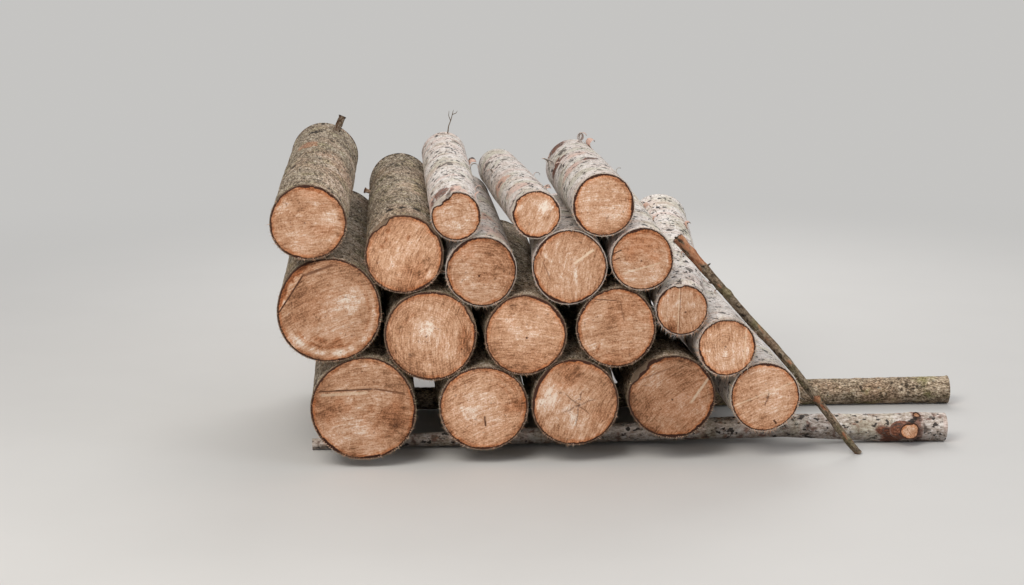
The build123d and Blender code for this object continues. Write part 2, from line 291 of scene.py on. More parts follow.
# %% Seeded waviness
def hashed(cell, seed):
    h = cell[:, 0] * 374761393 + cell[:, 1] * 668265263 + cell[:, 2] * 1440662683
    h = (h + seed * 974634777) & 0xFFFFFFFF
    h = ((h ^ (h >> 13)) * 1274126177) & 0xFFFFFFFF
    return ((h ^ (h >> 16)) & 0xFFFFFF) / 0xFFFFFF


def grain(points, size, seed, layers=1):
    """Waviness between about -1 and 1, one value for each point, in the shape of the grid."""
    shape = np.shape(points)[:-1]
    points = np.reshape(points, (-1, 3))
    total = np.zeros(len(points))
    share = 1.0
    for layer in range(layers):
        q = points / size * 2.0**layer
        base = np.floor(q).astype(np.int64)
        f = q - base
        f = f * f * (3 - 2 * f)
        for corner in range(8):
            step = np.array([corner & 1, corner >> 1 & 1, corner >> 2 & 1])
            weight = np.prod(np.where(step, f, 1 - f), axis=1)
            total += share * weight * (2 * hashed(base + step, seed + layer) - 1)
        share *= 0.5
    return total.reshape(shape)


def smooth(value, low, high):
    t = np.clip((value - low) / (high - low), 0, 1)
    return t * t * (3 - 2 * t)


print("grain at the origin", grain(np.zeros((1, 3)), 0.1, 1))

# %% [markdown]
# `plates` splits space into cells like the scales of old bark. Each cell has a random middle, and a
# point belongs to the nearest one; how much nearer it is than the next tells where the gaps run.

# %% Seeded plates
def plates(points, size, seed):
    """How far each point is from the gap round its plate, and the plate's own random number."""
    shape = np.shape(points)[:-1]
    q = np.reshape(points, (-1, 3)) / size
    base = np.floor(q).astype(np.int64)
    first = np.full(len(q), 9.0)
    second = np.full(len(q), 9.0)
    own = np.zeros(len(q))
    for k in range(27):
        cell = base + np.array([k % 3 - 1, k // 3 % 3 - 1, k // 9 - 1])
        middle = np.stack([hashed(cell, seed + s) for s in (0, 1, 2)], 1)
        away = np.linalg.norm(q - cell - middle, axis=1)
        nearer = away < first
        second = np.where(nearer, first, np.minimum(second, away))
        own = np.where(nearer, middle[:, 0], own)
        first = np.minimum(first, away)
    return (second - first).reshape(shape), own.reshape(shape)


print("plate at the origin", plates(np.zeros((1, 3)), 0.1, 1))

# %% [markdown]
# ## Reading a log from its solid
# Each log's solid says where its middle runs and how far the bark reaches. Rays from the middle
# find the outline at a few stations. In between, the outline is taken in proportion, because a
# log tapers evenly.

# %% Outline of a log
inner_stations = (-0.30, -0.075, 0.15)
front_station, rear_station = 0.055, 0.03


def solid_tree(node):
    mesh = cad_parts[node].data
    corners = [v.co for v in mesh.vertices]
    return BVHTree.FromPolygons(corners, [p.vertices for p in mesh.polygons])


def first_hit(tree, start, way):
    return tree.ray_cast(Vector(start), Vector(way))[0]


def between(stations, values, y, column=None):
    k = np.clip(np.searchsorted(stations, y) - 1, 0, len(stations) - 2)
    t = (y - stations[k]) / (stations[k + 1] - stations[k])
    low = values[k] if column is None else values[k, column]
    high = values[k + 1] if column is None else values[k + 1, column]
    return low * (1 - t) + high * t


class Round:
    def __init__(self, node, around):
        self.tree = solid_tree(node)
        self.low, self.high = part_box(node)
        self.turns = 2 * np.pi * np.arange(around) / around
        self.degrees = np.degrees(self.turns)
        self.cos, self.sin = np.cos(self.turns), np.sin(self.turns)
        first, last = self.low.y + front_station, self.high.y - rear_station
        self.stations = np.array([first, *inner_stations, last])
        outlines = [self.outline(y) for y in self.stations]
        self.middles = np.array([middle for middle, _ in outlines])
        self.reaches = np.array([reach for _, reach in outlines])
        self.radius = float(self.reaches[1].mean())

    def outline(self, y):
        """Middle and reach at a station; the middle moves until the outline is even round it."""
        middle = np.array(((self.low.x + self.high.x) / 2, (self.low.z + self.high.z) / 2))
        for _ in range(3):
            start = (middle[0], y, middle[1])
            hits = [first_hit(self.tree, start, (c, 0, s)) for c, s in zip(self.cos, self.sin)]
            spots = np.array([(hit.x, hit.z) for hit in hits])
            found = middle, np.linalg.norm(spots - middle, axis=1)
            middle = (spots.max(0) + spots.min(0)) / 2
        return found

    def middle(self, y):
        """X and z of the middle line at y."""
        return (between(self.stations, self.middles[:, 0], y),
                between(self.stations, self.middles[:, 1], y))

    def spot(self, y):
        x, z = self.middle(np.array(y))
        return np.array((float(x), y, float(z)))

    def reach(self, y):
        """How far the bark reaches at y, one column for each turn."""
        return between(self.stations, self.reaches, y, np.arange(len(self.turns)))


# %% [markdown]
# Rays along the log find its two sawn faces, also where a front was sawn in two strokes. They
# would slip past the rim, so its outermost part goes on in the slope of the part inside it.

# %% Sawn faces of a log
last_sure_share = 0.965
clear_of_face = 0.1
inside_face = 0.01


def face_depth(log, shares, front):
    """Y of a sawn face: one row for each share of the reach, one column for each turn."""
    way = 1 if front else -1
    face = log.low.y if front else log.high.y
    start, inside = face - way * clear_of_face, face + way * inside_face
    x, _, z = log.spot(inside)
    rim = log.reach(np.full(len(log.turns), inside))
    sure = shares <= last_sure_share
    grid = np.full((len(shares), len(log.turns)), np.nan)
    for i in np.flatnonzero(sure):
        for j, (c, s) in enumerate(zip(log.cos, log.sin)):
            out = shares[i] * rim[j]
            hit = first_hit(log.tree, (x + out * c, start, z + out * s), (0, way, 0))
            if hit is not None:
                grid[i, j] = hit.y
    grid = np.where(np.isnan(grid), np.nanmean(grid), grid)
    last = np.flatnonzero(sure)[-1]
    slope = (grid[last] - grid[last - 1]) / (shares[last] - shares[last - 1])
    for i in np.flatnonzero(~sure):
        grid[i] = grid[last] + slope * (shares[i] - shares[last])
    return grid


sample = Round("second_row_log_1", 36)
print("second_row_log_1 has a mean radius of", round(sample.radius, 4), "m")
print("its front lies at y", face_depth(sample, np.linspace(0, 1, 5), True).mean().round(4))

# %% [markdown]
# ## Mesh in patches
# A log is made of grids: the bark, the two ends, and many small splinters. `Patchwork` collects
# such grids with the values painted on their points, and makes one mesh of them at the end. The
# finishes read those values by name.

# %% Patchwork
painted = dict.fromkeys(("height", "tone", "rim", "stain", "pale", "crack", "rings", "dot",
                         "paper"), 1)
painted.update(dict.fromkeys(("pith", "saw", "lay", "line_1", "line_2", "line_3"), 3))
all_triangles = []


class Patchwork:
    def __init__(self):
        self.points = []
        self.faces = []
        self.kinds = []
        self.paint = {name: [] for name in painted}
        self.count = 0

    def add(self, points, faces, kind, **values):
        points = np.asarray(points, float).reshape(-1, 3)
        self.points.append(points)
        self.faces += [tuple(int(k) + self.count for k in face) for face in faces]
        self.kinds += [kind] * len(faces)
        for name, width in painted.items():
            given = np.asarray(values.get(name, 0.0), float)
            given = given.reshape(-1, width) if given.size > 1 else given
            self.paint[name].append(np.broadcast_to(given, (len(points), width)))
        self.count += len(points)

    def grid(self, points, kind, outward, **values):
        """Rows of points that close round, with the faces turned outward or the other way."""
        rows, columns = points.shape[:2]
        i, j = np.meshgrid(np.arange(rows - 1), np.arange(columns), indexing="ij")
        a = i * columns + j
        b = i * columns + (j + 1) % columns
        order = (a, b, b + columns, a + columns) if outward else (a, a + columns, b + columns, b)
        self.add(points, np.stack([o.ravel() for o in order], 1), kind, **values)

    def finish(self, name, materials, slot, replaced=()):
        mesh = bpy.data.meshes.new(name)
        mesh.from_pydata(np.concatenate(self.points), [], self.faces)
        mesh.polygons.foreach_set("material_index", self.kinds)
        mesh.polygons.foreach_set("use_smooth", [True] * len(self.faces))
        for material in materials:
            mesh.materials.append(material)
        for paint, width in painted.items():
            values = np.concatenate(self.paint[paint]).astype(np.float32)
            if not values.any():
                continue
            layer = mesh.attributes.new(paint, "FLOAT_VECTOR" if width == 3 else "FLOAT", "POINT")
            layer.data.foreach_set("vector" if width == 3 else "value", values.ravel())
        mesh.update()
        piece = bpy.data.objects.new(name, mesh)
        bpy.context.scene.collection.objects.link(piece)
        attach(piece, "root")
        if replaced:
            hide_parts(*replaced)
        triangles = sum(len(face) - 2 for face in self.faces)
        all_triangles.append(triangles)
        print(name, triangles, "triangles,", sum(all_triangles), "so far")


# %% [markdown]
# ## Sawn wood
# A fresh chainsaw cut: pale tan wood that turns orange towards the bark, growth rings round the
# pith, fine strokes across the face, and a thin dark ring of bark. Rings need the distance from
# the pith, and strokes need the saw's direction, so both are painted on the points of each face.
# The saw also leaves a few lines: two darker ones and one pale. On bottom_log_1 the first dark
# line is also painted shadow of a twig. Each is painted as how far a point is beside the line in
# its widths, how far along it, and how strong it is.

# %% Sawn wood, light and dark
wood = Finish("sawn wood")
pith = wood.value("pith", "Vector")
saw = wood.value("saw", "Vector")
rim = wood.value("rim")
stained = wood.value("stain")
along_strokes = (1.0, 0.13, 1.0)
blotch = wood.noise(wood.place(), 11.0, 4.0, 0.6)
mottle = wood.noise(wood.place(), 62.0, 5.0, 0.72)
speck = wood.noise(wood.place(), 250.0, 3.0, 0.7)
pits = wood.noise(wood.place(), 120.0, 2.0, 0.5)
strokes = wood.noise(saw, 230.0, 3.0, 0.7, along_strokes)
broad = wood.noise(saw, 80.0, 3.0, 0.65, along_strokes)
out = wood.length(pith) * (0.92 + blotch * 0.16)
spaced = wood.node("ShaderNodeCombineXYZ", {}, {"X": out, "Y": 0.0, "Z": wood.value("tone")})
years = wood.noise(spaced, 300.0, 2.0, 0.6) * 0.65 + wood.noise(spaced, 125.0, 2.0) * 0.35
heart = 1.0 - wood.step(out + (blotch - 0.5) * 0.05, 0.03, 0.12)
light = 0.535 + (strokes - 0.5) * 0.98 + (broad - 0.5) * 0.55 + (speck - 0.5) * 1.05
light = light + (mottle - 0.5) * 0.72 + (blotch - 0.5) * 0.95 + (heart - 0.4) * 0.16
light = light + (years - 0.5) * (0.45 + wood.value("rings") * 0.75)
light = light + wood.value("pale") * 0.34 - stained * 0.27
light = light - (1.0 - wood.step(rim, 0.004, 0.022)) * 0.10
colour = wood.ramp(
    light, (0.0, (0.10, 0.045, 0.024)), (0.24, (0.27, 0.130, 0.068)),
    (0.44, (0.465, 0.240, 0.133)), (0.62, (0.59, 0.345, 0.213)),
    (0.82, (0.71, 0.487, 0.360)), (1.0, (0.86, 0.74, 0.63)))

# %% [markdown]
# Sapwood goes orange where it dries, most of all in a band inside the bark. Over that go the
# three saw lines (on bottom_log_1 the first is partly painted shadow of a twig), the dark dot of
# the pith and the drying cracks, each with an uneven edge.

# %% Sawn wood, orange rim and marks
line_shades = {"line_1": (0.085, 0.034, 0.019), "line_2": (0.17, 0.070, 0.036),
               "line_3": (0.80, 0.62, 0.45)}
in_band = 1.0 - wood.step(rim + (mottle - 0.5) * 0.026, 0.008, 0.019)
orange = in_band * (0.30 + wood.step(blotch, 0.42, 0.58) * 0.60)
orange = orange + wood.step(blotch, 0.50, 0.70) * 0.20 + stained * 0.62
colour = wood.tinted(colour, (orange, (0.97, 0.68, 0.49)))
colour = wood.coated(colour, (wood.step(pits, 0.66, 0.72) * 0.55, (0.15, 0.06, 0.03)))
for name, shade in line_shades.items():
    beside, along, strength = [wood.part(wood.value(name, "Vector"), axis) for axis in "XYZ"]
    beside = wood.size(beside + (mottle - 0.5) * 1.6 + (speck - 0.5) * 0.8)
    between_ends = wood.step(along, -0.03, 0.05) * (1.0 - wood.step(along, 0.93, 1.03))
    drawn = (1.0 - wood.step(beside, 0.5, 1.3)) * between_ends * strength
    colour = wood.coated(colour, (drawn * (0.45 + mottle * 1.1), shade))
in_dot = 1.0 - wood.step(wood.length(pith) + (speck - 0.5) * 0.004, 0.0022, 0.0040)
colour = wood.coated(colour, (in_dot * wood.value("dot"), (0.10, 0.035, 0.02)),
                     (wood.value("crack"), (0.075, 0.03, 0.018)))

# %% [markdown]
# Outermost is the cut bark: a dark layer of bast that is wider in places, then the outer bark,
# brown on spruce and papery on birch. The bump takes the same strokes as the colour.

# %% Sawn wood, cut bark
edge = rim + (mottle - 0.5) * 0.007 + (speck - 0.5) * 0.003
bast = 1.0 - wood.step(edge - wood.step(blotch, 0.50, 0.68) * 0.0048, 0.0054, 0.0069)
crumbly = wood.grey(0.3 + mottle * 1.3 + (speck - 0.5) * 1.2)
outer = wood.mix(wood.value("paper"), (0.20, 0.14, 0.095), (0.60, 0.52, 0.45))
outer = wood.tinted(outer, (0.8, crumbly))
colour = wood.coated(colour, (bast, (0.055, 0.022, 0.014)),
                     ((1.0 - wood.step(edge, 0.0016, 0.0026)) * 0.9, outer))
colour = wood.tinted(colour, (1.0, wood.grey(wood.value("tone"))))
height = strokes * 0.7 + broad * 0.35 + speck * 0.35 + mottle * 0.2
sawn_wood = wood.surface(colour, 0.86 - mottle * 0.12, height, 0.0016, 0.15)

# %% [markdown]
# ## Spruce bark
# Grey-brown scales a centimetre or two wide with dark gaps, green algae in patches and paler,
# rubbed places. The scales are in the mesh; the finish follows them through the painted height.
# All its noises are drawn out along the log, since bark stretches and splits that way. The same
# finish, darker and with moss, does for the rear bearer, and nearly smooth for the thin pole.

# %% Spruce bark finish
deep_gap = (0.030, 0.022, 0.016)


def make_spruce_bark(name, dark_share=0.0, moss=0.0, contrast=1.0):
    bark = Finish(name)
    lay = bark.value("lay", "Vector")
    height, pale = bark.value("height"), bark.value("pale")
    patch = bark.noise(lay, 6.0, 4.0)
    green = bark.noise(lay, 15.0, 4.0, 0.6)
    lichen = bark.noise(lay, 70.0, 4.0, 0.75)
    flecks = bark.noise(lay, 120.0, 4.0, 0.75, (1.0, 0.45, 1.0))
    crumbs = bark.noise(lay, 270.0, 2.0, 0.6, (1.0, 0.5, 1.0))
    along = bark.noise(lay, 45.0, 4.0, 0.7, (1.0, 0.16, 1.0))
    bands = bark.noise(lay, 14.0, 4.0, 0.65, (0.6, 1.1, 0.6))
    pits = bark.noise(lay, 105.0, 2.0, 0.5, (0.8, 0.6, 0.8))
    knots = bark.noise(lay, 42.0, 2.0, 0.5, (1.0, 0.8, 1.0))
    rough = (flecks - 0.5) * 1.25 + (along - 0.5) * 0.22
    rough = rough + (bands - 0.5) * 0.60 + (crumbs - 0.5) * 1.9
    light = 0.42 - dark_share + rough * contrast + (height - 0.55) * 0.30 * contrast
    colour = bark.ramp(
        light + pale * 0.26, (0.0, deep_gap), (0.25, (0.125, 0.090, 0.060)),
        (0.45, (0.285, 0.218, 0.152)), (0.62, (0.43, 0.350, 0.258)),
        (0.80, (0.60, 0.525, 0.425)), (1.0, (0.80, 0.74, 0.66)))
    colour = bark.tinted(
        colour, (bark.step(green, 0.50, 0.68) * (0.6 + moss), (0.84, 0.90, 0.66)),
        (bark.step(patch, 0.50, 0.64) * 0.5, (1.0, 0.82, 0.73)), (pale * 0.8, (1.0, 0.83, 0.76)))
    torn = bark.ramp(
        flecks * 0.6 + along * 0.5, (0.42, (0.10, 0.03, 0.017)), (0.52, (0.36, 0.145, 0.075)),
        (0.60, (0.47, 0.22, 0.12)), (0.70, (0.62, 0.36, 0.22)))
    colour = bark.coated(
        colour, (bark.step(lichen, 0.57, 0.66) * 0.45 * contrast, (0.58, 0.53, 0.44)),
        (bark.step(pits, 0.60, 0.67) * 0.75 * contrast, (0.055, 0.040, 0.030)),
        (bark.step(knots, 0.665, 0.70) * 0.85, deep_gap), (bark.value("stain"), torn),
        (1.0 - bark.step(height, 0.0, 0.2), deep_gap))
    if moss:
        tufts = bark.step(green, 0.46, 0.58) * bark.step(flecks, 0.35, 0.6)
        colour = bark.coated(colour, (tufts * moss, (0.13, 0.14, 0.045)))
    colour = bark.tinted(colour, (1.0, bark.grey(bark.value("tone"))))
    relief = along * 0.5 + flecks * 0.7 + crumbs * 0.3
    return bark.surface(colour, 0.85 + flecks * 0.1, relief, 0.005, 0.15)


spruce_bark = make_spruce_bark("spruce bark")
mossy_bark = make_spruce_bark("mossy bark", dark_share=0.08, moss=0.3, contrast=0.75)

# %% [markdown]
# ## Birch bark
# White paper with short dark breathing pores across the log, black specks and scars, pinkish
# layers where the paper has peeled, and grey-green growth on the side that faced the damp. The
# front bearer has lain longer, so its paper is dirtier.

# %% Birch bark finish
def make_birch_bark(name, dirt_and_shade=0.0):
    bark = Finish(name)
    lay = bark.value("lay", "Vector")
    patch = bark.noise(lay, 9.0, 4.0, 0.6)
    film = bark.noise(lay, 38.0, 4.0, 0.7, (1.0, 0.5, 1.0))
    flecks = bark.noise(lay, 150.0, 3.0, 0.75, (1.0, 0.45, 1.0))
    pores = bark.noise(lay, 120.0, 3.0, 0.6, (0.6, 0.9, 0.6))
    scars = bark.noise(lay, 60.0, 5.0, 0.8, (1.0, 0.5, 1.0))
    drops = bark.noise(lay, 56.0, 2.0, 0.5, (0.9, 0.7, 0.9))
    rust = bark.noise(lay, 24.0, 5.0, 0.72, (0.8, 1.2, 0.8))
    bands = bark.noise(lay, 12.0, 4.0, 0.6, (0.4, 1.5, 0.4))
    light = 0.755 - dirt_and_shade + (film - 0.5) * 0.95 + (flecks - 0.5) * 1.45 + (pores - 0.5) * 0.40
    colour = bark.ramp(
        light, (0.0, (0.07, 0.05, 0.04)), (0.30, (0.30, 0.235, 0.19)),
        (0.52, (0.53, 0.455, 0.40)), (0.72, (0.72, 0.655, 0.61)), (1.0, (0.88, 0.835, 0.80)))
    colour = bark.tinted(
        colour, (bark.step(bands, 0.50, 0.66) * 0.45, (0.95, 0.72, 0.67)),
        (bark.step(patch, 0.48, 0.64) * 0.60, (0.70, 0.71, 0.56)))
    torn = bark.ramp(
        flecks + (film - 0.5) * 0.8, (0.35, (0.05, 0.020, 0.013)), (0.52, (0.17, 0.058, 0.033)),
        (0.70, (0.38, 0.18, 0.105)))
    colour = bark.coated(
        colour, (bark.step(rust, 0.56, 0.64) * (0.45 + dirt_and_shade), (0.27, 0.175, 0.12)),
        (bark.value("pale") * bark.step(flecks, 0.25, 0.55), (0.66, 0.40, 0.31)),
        (bark.value("stain") * bark.step(film + flecks, 0.65, 0.95), torn),
        (bark.step(pores, 0.63, 0.70) * 0.70, (0.13, 0.095, 0.075)),
        (bark.step(scars, 0.575, 0.62) * 0.95, (0.045, 0.037, 0.033)),
        (bark.step(drops, 0.625, 0.655) * 0.95, (0.040, 0.033, 0.030)),
        ((1.0 - bark.step(bark.value("height"), 0.0, 0.6)) * 0.85, (0.07, 0.05, 0.04)))
    colour = bark.tinted(colour, (1.0, bark.grey(bark.value("tone"))))
    sunk = bark.step(scars, 0.58, 0.68) * 0.5 + bark.step(drops, 0.6, 0.68) * 0.4
    relief = film * 0.5 + flecks * 0.4 - sunk
    return bark.surface(colour, 0.66 + film * 0.2, relief, 0.004, 0.22)


birch_bark = make_birch_bark("birch bark")
dirty_birch_bark = make_birch_bark("weathered birch bark", dirt_and_shade=0.22)

# %% [markdown]
# ## The logs, one by one
# What differs from log to log is written down here. On a front, x and z are shares of the mean
# radius, and a turn is in degrees from the right, counted through the top.
# - Each log: kind of bark, place of the pith, direction of the saw strokes, how bright the cut is.
# - `dot`, `rings`: how strong the pith and the rings show. `fine`: more points, for logs whose bark
#   is in sight. `fringe`: how long the torn fibres are. `facet`: edge of a torn facet.
# - `cracks`: direction, length and width. `bites`: turn, depth and width of torn rim.
# - `lines`: which of the three saw lines, from x, z to x, z, width and strength. `..._marks` are
#   the same without a number, `pale` and `stains` have x, z, size and strength, and `..._arcs`
#   have their share of the radius, from turn to turn, width and strength.
# - `bark_...`, behind the front: turn, distance, size and strength of a patch of bark.

# %% Facts about each log
usual_cut = dict(
    dot=0.0, rings=0.15, fine=False, bark_tone=1.0, fringe=1.0, facet=None, cracks=[], bites=[],
    lines={}, pale=[], stains=[], pale_arcs=[], stain_arcs=[], pale_marks=[], stain_marks=[],
    crack_marks=[], bark_pale=[], bark_torn=[], bark_dark=[])


def cut(bark, pith, saw, tone, **own):
    return SimpleNamespace(bark=bark, pith=pith, saw=saw, tone=tone, **{**usual_cut, **own})


cuts = {
    # Its first dark line is partly a saw ledge and partly painted shadow of a twig
    "bottom_log_1": cut(
        "spruce", (-0.05, 0.1), 5, 0.88, rings=0.4, lines={1: (-0.85, 0.33, 0.2, 0.38, 0.016, 0.9),
        2: (0.2, 0.38, 0.8, 0.28, 0.02, 0.8), 3: (-0.8, 0.26, 0.1, 0.31, 0.03, 0.5)},
        pale=[(-0.2, -0.5, 0.4, 0.7)], stains=[(0.5, -0.2, 0.4, 0.9), (-0.6, 0, 0.3, 0.7)],
        pale_arcs=[(0.85, 60, 150, 0.06, 0.5)], stain_arcs=[(0.7, -60, 40, 0.08, 0.4)]),
    "bottom_log_2": cut(
        "spruce", (0.05, 0.1), 20, 1.07, rings=0.6,
        lines={1: (0.02, -0.18, 0.04, -0.42, 0.022, 0.9)}, pale=[(-0.1, 0.1, 0.4, 0.9)],
        stains=[(0.75, 0.1, 0.25, 1)], stain_arcs=[(0.82, 20, 80, 0.05, 0.6),
        (0.66, 10, 70, 0.03, 0.5)], crack_marks=[(0.86, -0.45, 0.88, -0.47, 0.03, 1)]),
    "bottom_log_3": cut(
        "spruce", (0.08, -0.07), 60, 0.96, dot=0.8, rings=0.5, cracks=[(20, 0.5, 0.15),
        (78, 0.4, 0.2), (140, 0.5, 0.15), (205, 0.45, 0.2), (262, 0.6, 0.2), (318, 0.4, 0.15)],
        pale=[(0.08, -0.07, 0.4, 0.4), (-0.6, 0.1, 0.26, 1.3), (-0.5, -0.45, 0.22, 0.8)],
        stains=[(-0.1, 0.65, 0.35, 0.7), (0.6, -0.3, 0.3, 0.5)]),
    "bottom_log_4": cut(
        "spruce", (0.02, -0.06), 38, 0.73, dot=0.9, bites=[(143, 0.1, 16)],
        lines={2: (-0.9, 0.35, 0.1, 0.75, 0.02, 0.5), 3: (0.45, -0.15, 0.98, 0.62, 0.03, 0.7)},
        pale=[(-0.45, 0.35, 0.35, 0.7)], stains=[(0.1, -0.1, 1.3, 0.55), (-0.8, 0.6, 0.2, 0.9)]),
    "bottom_log_5": cut(
        "birch", (0.06, -0.09), 20, 1.06, dot=0.5, rings=0.3, fringe=1.6, cracks=[(80, 0.25, 0.4),
        (250, 0.2, 0.4), (110, 0.15, 0.3)], lines={1: (0.25, -0.66, 0.34, -0.77, 0.03, 1),
        3: (-0.9, -0.25, 0.9, 0.47, 0.022, 0.5)}),
    "second_row_log_1": cut(
        "spruce", (0.08, 0.08), 20, 0.87, rings=0.3, fine=True, facet=(-0.95, -0.03, -0.47, 0.69),
        lines={1: (-0.95, -0.03, -0.47, 0.69, 0.016, 1), 2: (-0.5, 0.66, 0.1, 0.88, 0.028, 0.8)},
        pale=[(0.4, 0.15, 0.3, 1.1), (-0.1, -0.3, 0.3, 0.3), (-0.67, -0.6, 0.19, 2),
        (-0.25, 0.78, 0.3, 0.8)], stains=[(-0.3, 0.1, 0.5, 0.4)],
        pale_arcs=[(0.85, 195, 315, 0.06, 1.1), (0.86, 300, 400, 0.05, 0.6)],
        stain_arcs=[(0.73, 205, 320, 0.035, 0.9), (0.62, 235, 300, 0.07, 0.7),
        (0.76, 320, 420, 0.03, 0.6)]),
    "second_row_log_2": cut(
        "spruce", (-0.09, -0.01), 85, 1.06, dot=0.7, rings=1, bites=[(28, 0.05, 10)],
        pale=[(-0.08, 0.25, 0.28, 0.8)], stains=[(0.72, -0.12, 0.22, 1)],
        stain_arcs=[(0.74, -35, 25, 0.06, 0.8), (0.6, 120, 160, 0.05, 0.5)],
        pale_marks=[(-0.1, 0.12, -0.12, 0.5, 0.06, 1)],
        crack_marks=[(-0.45, -0.41, -0.43, -0.43, 0.03, 1)]),
    "second_row_log_3": cut(
        "spruce", (0.02, -0.07), -3, 1.08, dot=1, rings=0.3, stains=[(0, -0.9, 0.5, 0.4)]),
    "second_row_log_4": cut(
        "spruce", (0.05, 0.05), 8, 0.98, rings=0.4, lines={1: (-0.55, 0.72, 0.1, 0.66, 0.012, 0.8),
        2: (0.1, 0.66, 0.2, 0.15, 0.02, 0.5)}, pale=[(-0.66, -0.48, 0.18, 1.2)],
        stains=[(0, -0.85, 0.5, 0.5), (0.3, 0.5, 0.5, 0.5)],
        stain_marks=[(-0.4, -0.42, -0.48, -0.62, 0.03, 1)]),
    "second_row_log_5": cut(
        "birch", (-0.05, 0.04), 95, 1.13, dot=0.6, rings=0.8, fine=True, fringe=2,
        lines={3: (0.62, 0.7, 0.55, -0.75, 0.03, 0.4)}),
    "third_row_log_1": cut(
        "spruce", (0.05, 0.1), 65, 1.1, fine=True, bark_tone=0.92, bites=[(128, 0.09, 14),
        (40, 0.05, 10)], pale=[(0.62, -0.52, 0.1, 1.6), (-0.2, -0.1, 0.3, 0.4)],
        stains=[(0.3, -0.5, 0.35, 0.6), (-0.39, 0.6, 0.05, 1.2), (-0.44, 0.37, 0.06, 1.2),
        (0.11, 0.42, 0.05, 1.2), (-0.56, 0.2, 0.06, 1.2), (0.55, -0.42, 0.06, 1.4),
        (0, -0.85, 0.25, 0.6)], bark_pale=[(80, 0.45, 0.05, 0.8), (66, 0.38, 0.03, 0.8)],
        bark_dark=[(112, 0.11, 0.016, 1), (92, 0.105, 0.016, 1), (68, 0.12, 0.018, 1),
        (105, 0.82, 0.03, 0.8)]),
    "third_row_log_2": cut(
        "birch", (-0.06, -0.12), -4, 0.93, dot=1, rings=0.6, fine=True, bark_tone=0.96, fringe=1.6,
        stains=[(0.3, 0.3, 0.9, 0.4)], bark_pale=[(82, 0.3, 0.05, 0.9), (60, 0.1, 0.06, 0.5)]),
    "third_row_log_3": cut(
        "birch", (0.12, 0.02), 78, 1, rings=0.7, fine=True,
        lines={2: (-0.72, 0.15, -0.5, -0.35, 0.02, 0.5), 3: (0.11, 0.09, 0.64, 0.48, 0.035, 0.8)},
        pale_marks=[(-0.7, 0.37, -0.42, 0.04, 0.05, 0.6), (0.11, 0.09, 0.64, 0.48, 0.06, 0.5),
        (0.15, 0, 0.17, -0.66, 0.06, 0.4), (-0.42, 0.04, -0.2, -0.3, 0.04, 0.35)]),
    "third_row_log_4": cut(
        "birch", (-0.03, -0.06), -8, 0.93, dot=0.8, rings=0.5, fine=True, bark_tone=1.12,
        lines={1: (-0.9, 0.18, -0.64, 0.3, 0.018, 1), 2: (-0.92, -0.04, -0.7, 0.05, 0.02, 1),
        3: (-0.6, -0.45, 0.6, -0.12, 0.03, 0.5)}, pale=[(0, -0.7, 0.6, 0.5)],
        stains=[(0.1, 0.5, 0.8, 0.9)], stain_marks=[(-0.86, 0.36, -0.7, 0.42, 0.04, 0.7)]),
    "third_row_log_5": cut(
        "birch", (0.12, -0.08), 92, 0.93, dot=0.8, rings=0.3, fine=True, bark_tone=1.08, fringe=2,
        bites=[(97, 0.07, 9)], lines={2: (-0.06, 0.88, -0.09, -0.85, 0.02, 0.5),
        3: (-0.11, 0.9, -0.14, -0.88, 0.016, 0.6)}, stains=[(0.45, 0.45, 0.2, 0.7),
        (-0.33, -0.68, 0.22, 1.2)], pale_marks=[(-0.85, -0.42, -0.2, -0.28, 0.06, 0.7)]),
    "top_log_1": cut(
        "spruce", (-0.09, -0.01), 4, 0.935, dot=0.6, rings=0.3, fine=True, bark_tone=0.99,
        pale=[(-0.6, 0.45, 0.25, 0.8), (0.6, 0.13, 0.25, 0.7)], stains=[(0.3, -0.2, 0.3, 0.35),
        (0.2, 0.8, 0.5, 0.3)], bark_pale=[(60, 0.45, 0.06, 0.6), (38, 0.14, 0.09, 0.7),
        (42, 0.34, 0.09, 0.6)], bark_torn=[(107, 0.62, 0.045, 0.6)],
        bark_dark=[(102, 0.84, 0.03, 1), (125, 0.35, 0.018, 0.9)]),
    "top_log_2": cut(
        "birch", (0, 0.05), 8, 0.95, rings=0.5, fine=True, bark_tone=0.96, bites=[(131, 0.17, 20),
        (108, 0.1, 8)], pale=[(-0.1, -0.4, 0.35, 0.6)], bark_pale=[(90, 0.04, 0.04, 0.8),
        (165, 0.08, 0.05, 0.8)], bark_torn=[(130, 0.05, 0.05, 0.9)]),
    "top_log_3": cut(
        "birch", (0.05, -0.05), 62, 1.04, rings=0.4, fine=True, bark_tone=0.89,
        bites=[(160, 0.06, 12)], pale=[(0.33, 0.3, 0.28, 1.2), (0.1, -0.2, 0.2, 0.6),
        (-0.72, 0.25, 0.16, 1.4)], stains=[(-0.8, -0.1, 0.2, 0.6)],
        bark_pale=[(149, 0.38, 0.05, 1), (125, 0.15, 0.05, 0.6)], bark_dark=[(145, 0.8, 0.024, 1),
        (100, 0.72, 0.02, 0.9), (150, 0.36, 0.018, 0.9)]),
    "top_log_4": cut(
        "birch", (-0.05, 0.15), 2, 1.02, rings=0.45, fine=True, bark_tone=0.9,
        pale=[(0.3, -0.25, 0.4, 0.5), (0.2, 0.25, 0.3, 0.3)], bark_pale=[(137, 0.34, 0.05, 0.7),
        (108, 0.55, 0.04, 0.6)], bark_torn=[(158, 0.66, 0.052, 1.1), (90, 0.38, 0.034, 1.1),
        (133, 0.96, 0.05, 1)], bark_dark=[(90, 0.38, 0.016, 0.9), (128, 0.76, 0.024, 1),
        (118, 0.8, 0.016, 0.9), (150, 0.55, 0.02, 0.9)]),
}
print(len(cuts), "logs,", sum(own.bark == "birch" for own in cuts.values()), "of them birch")

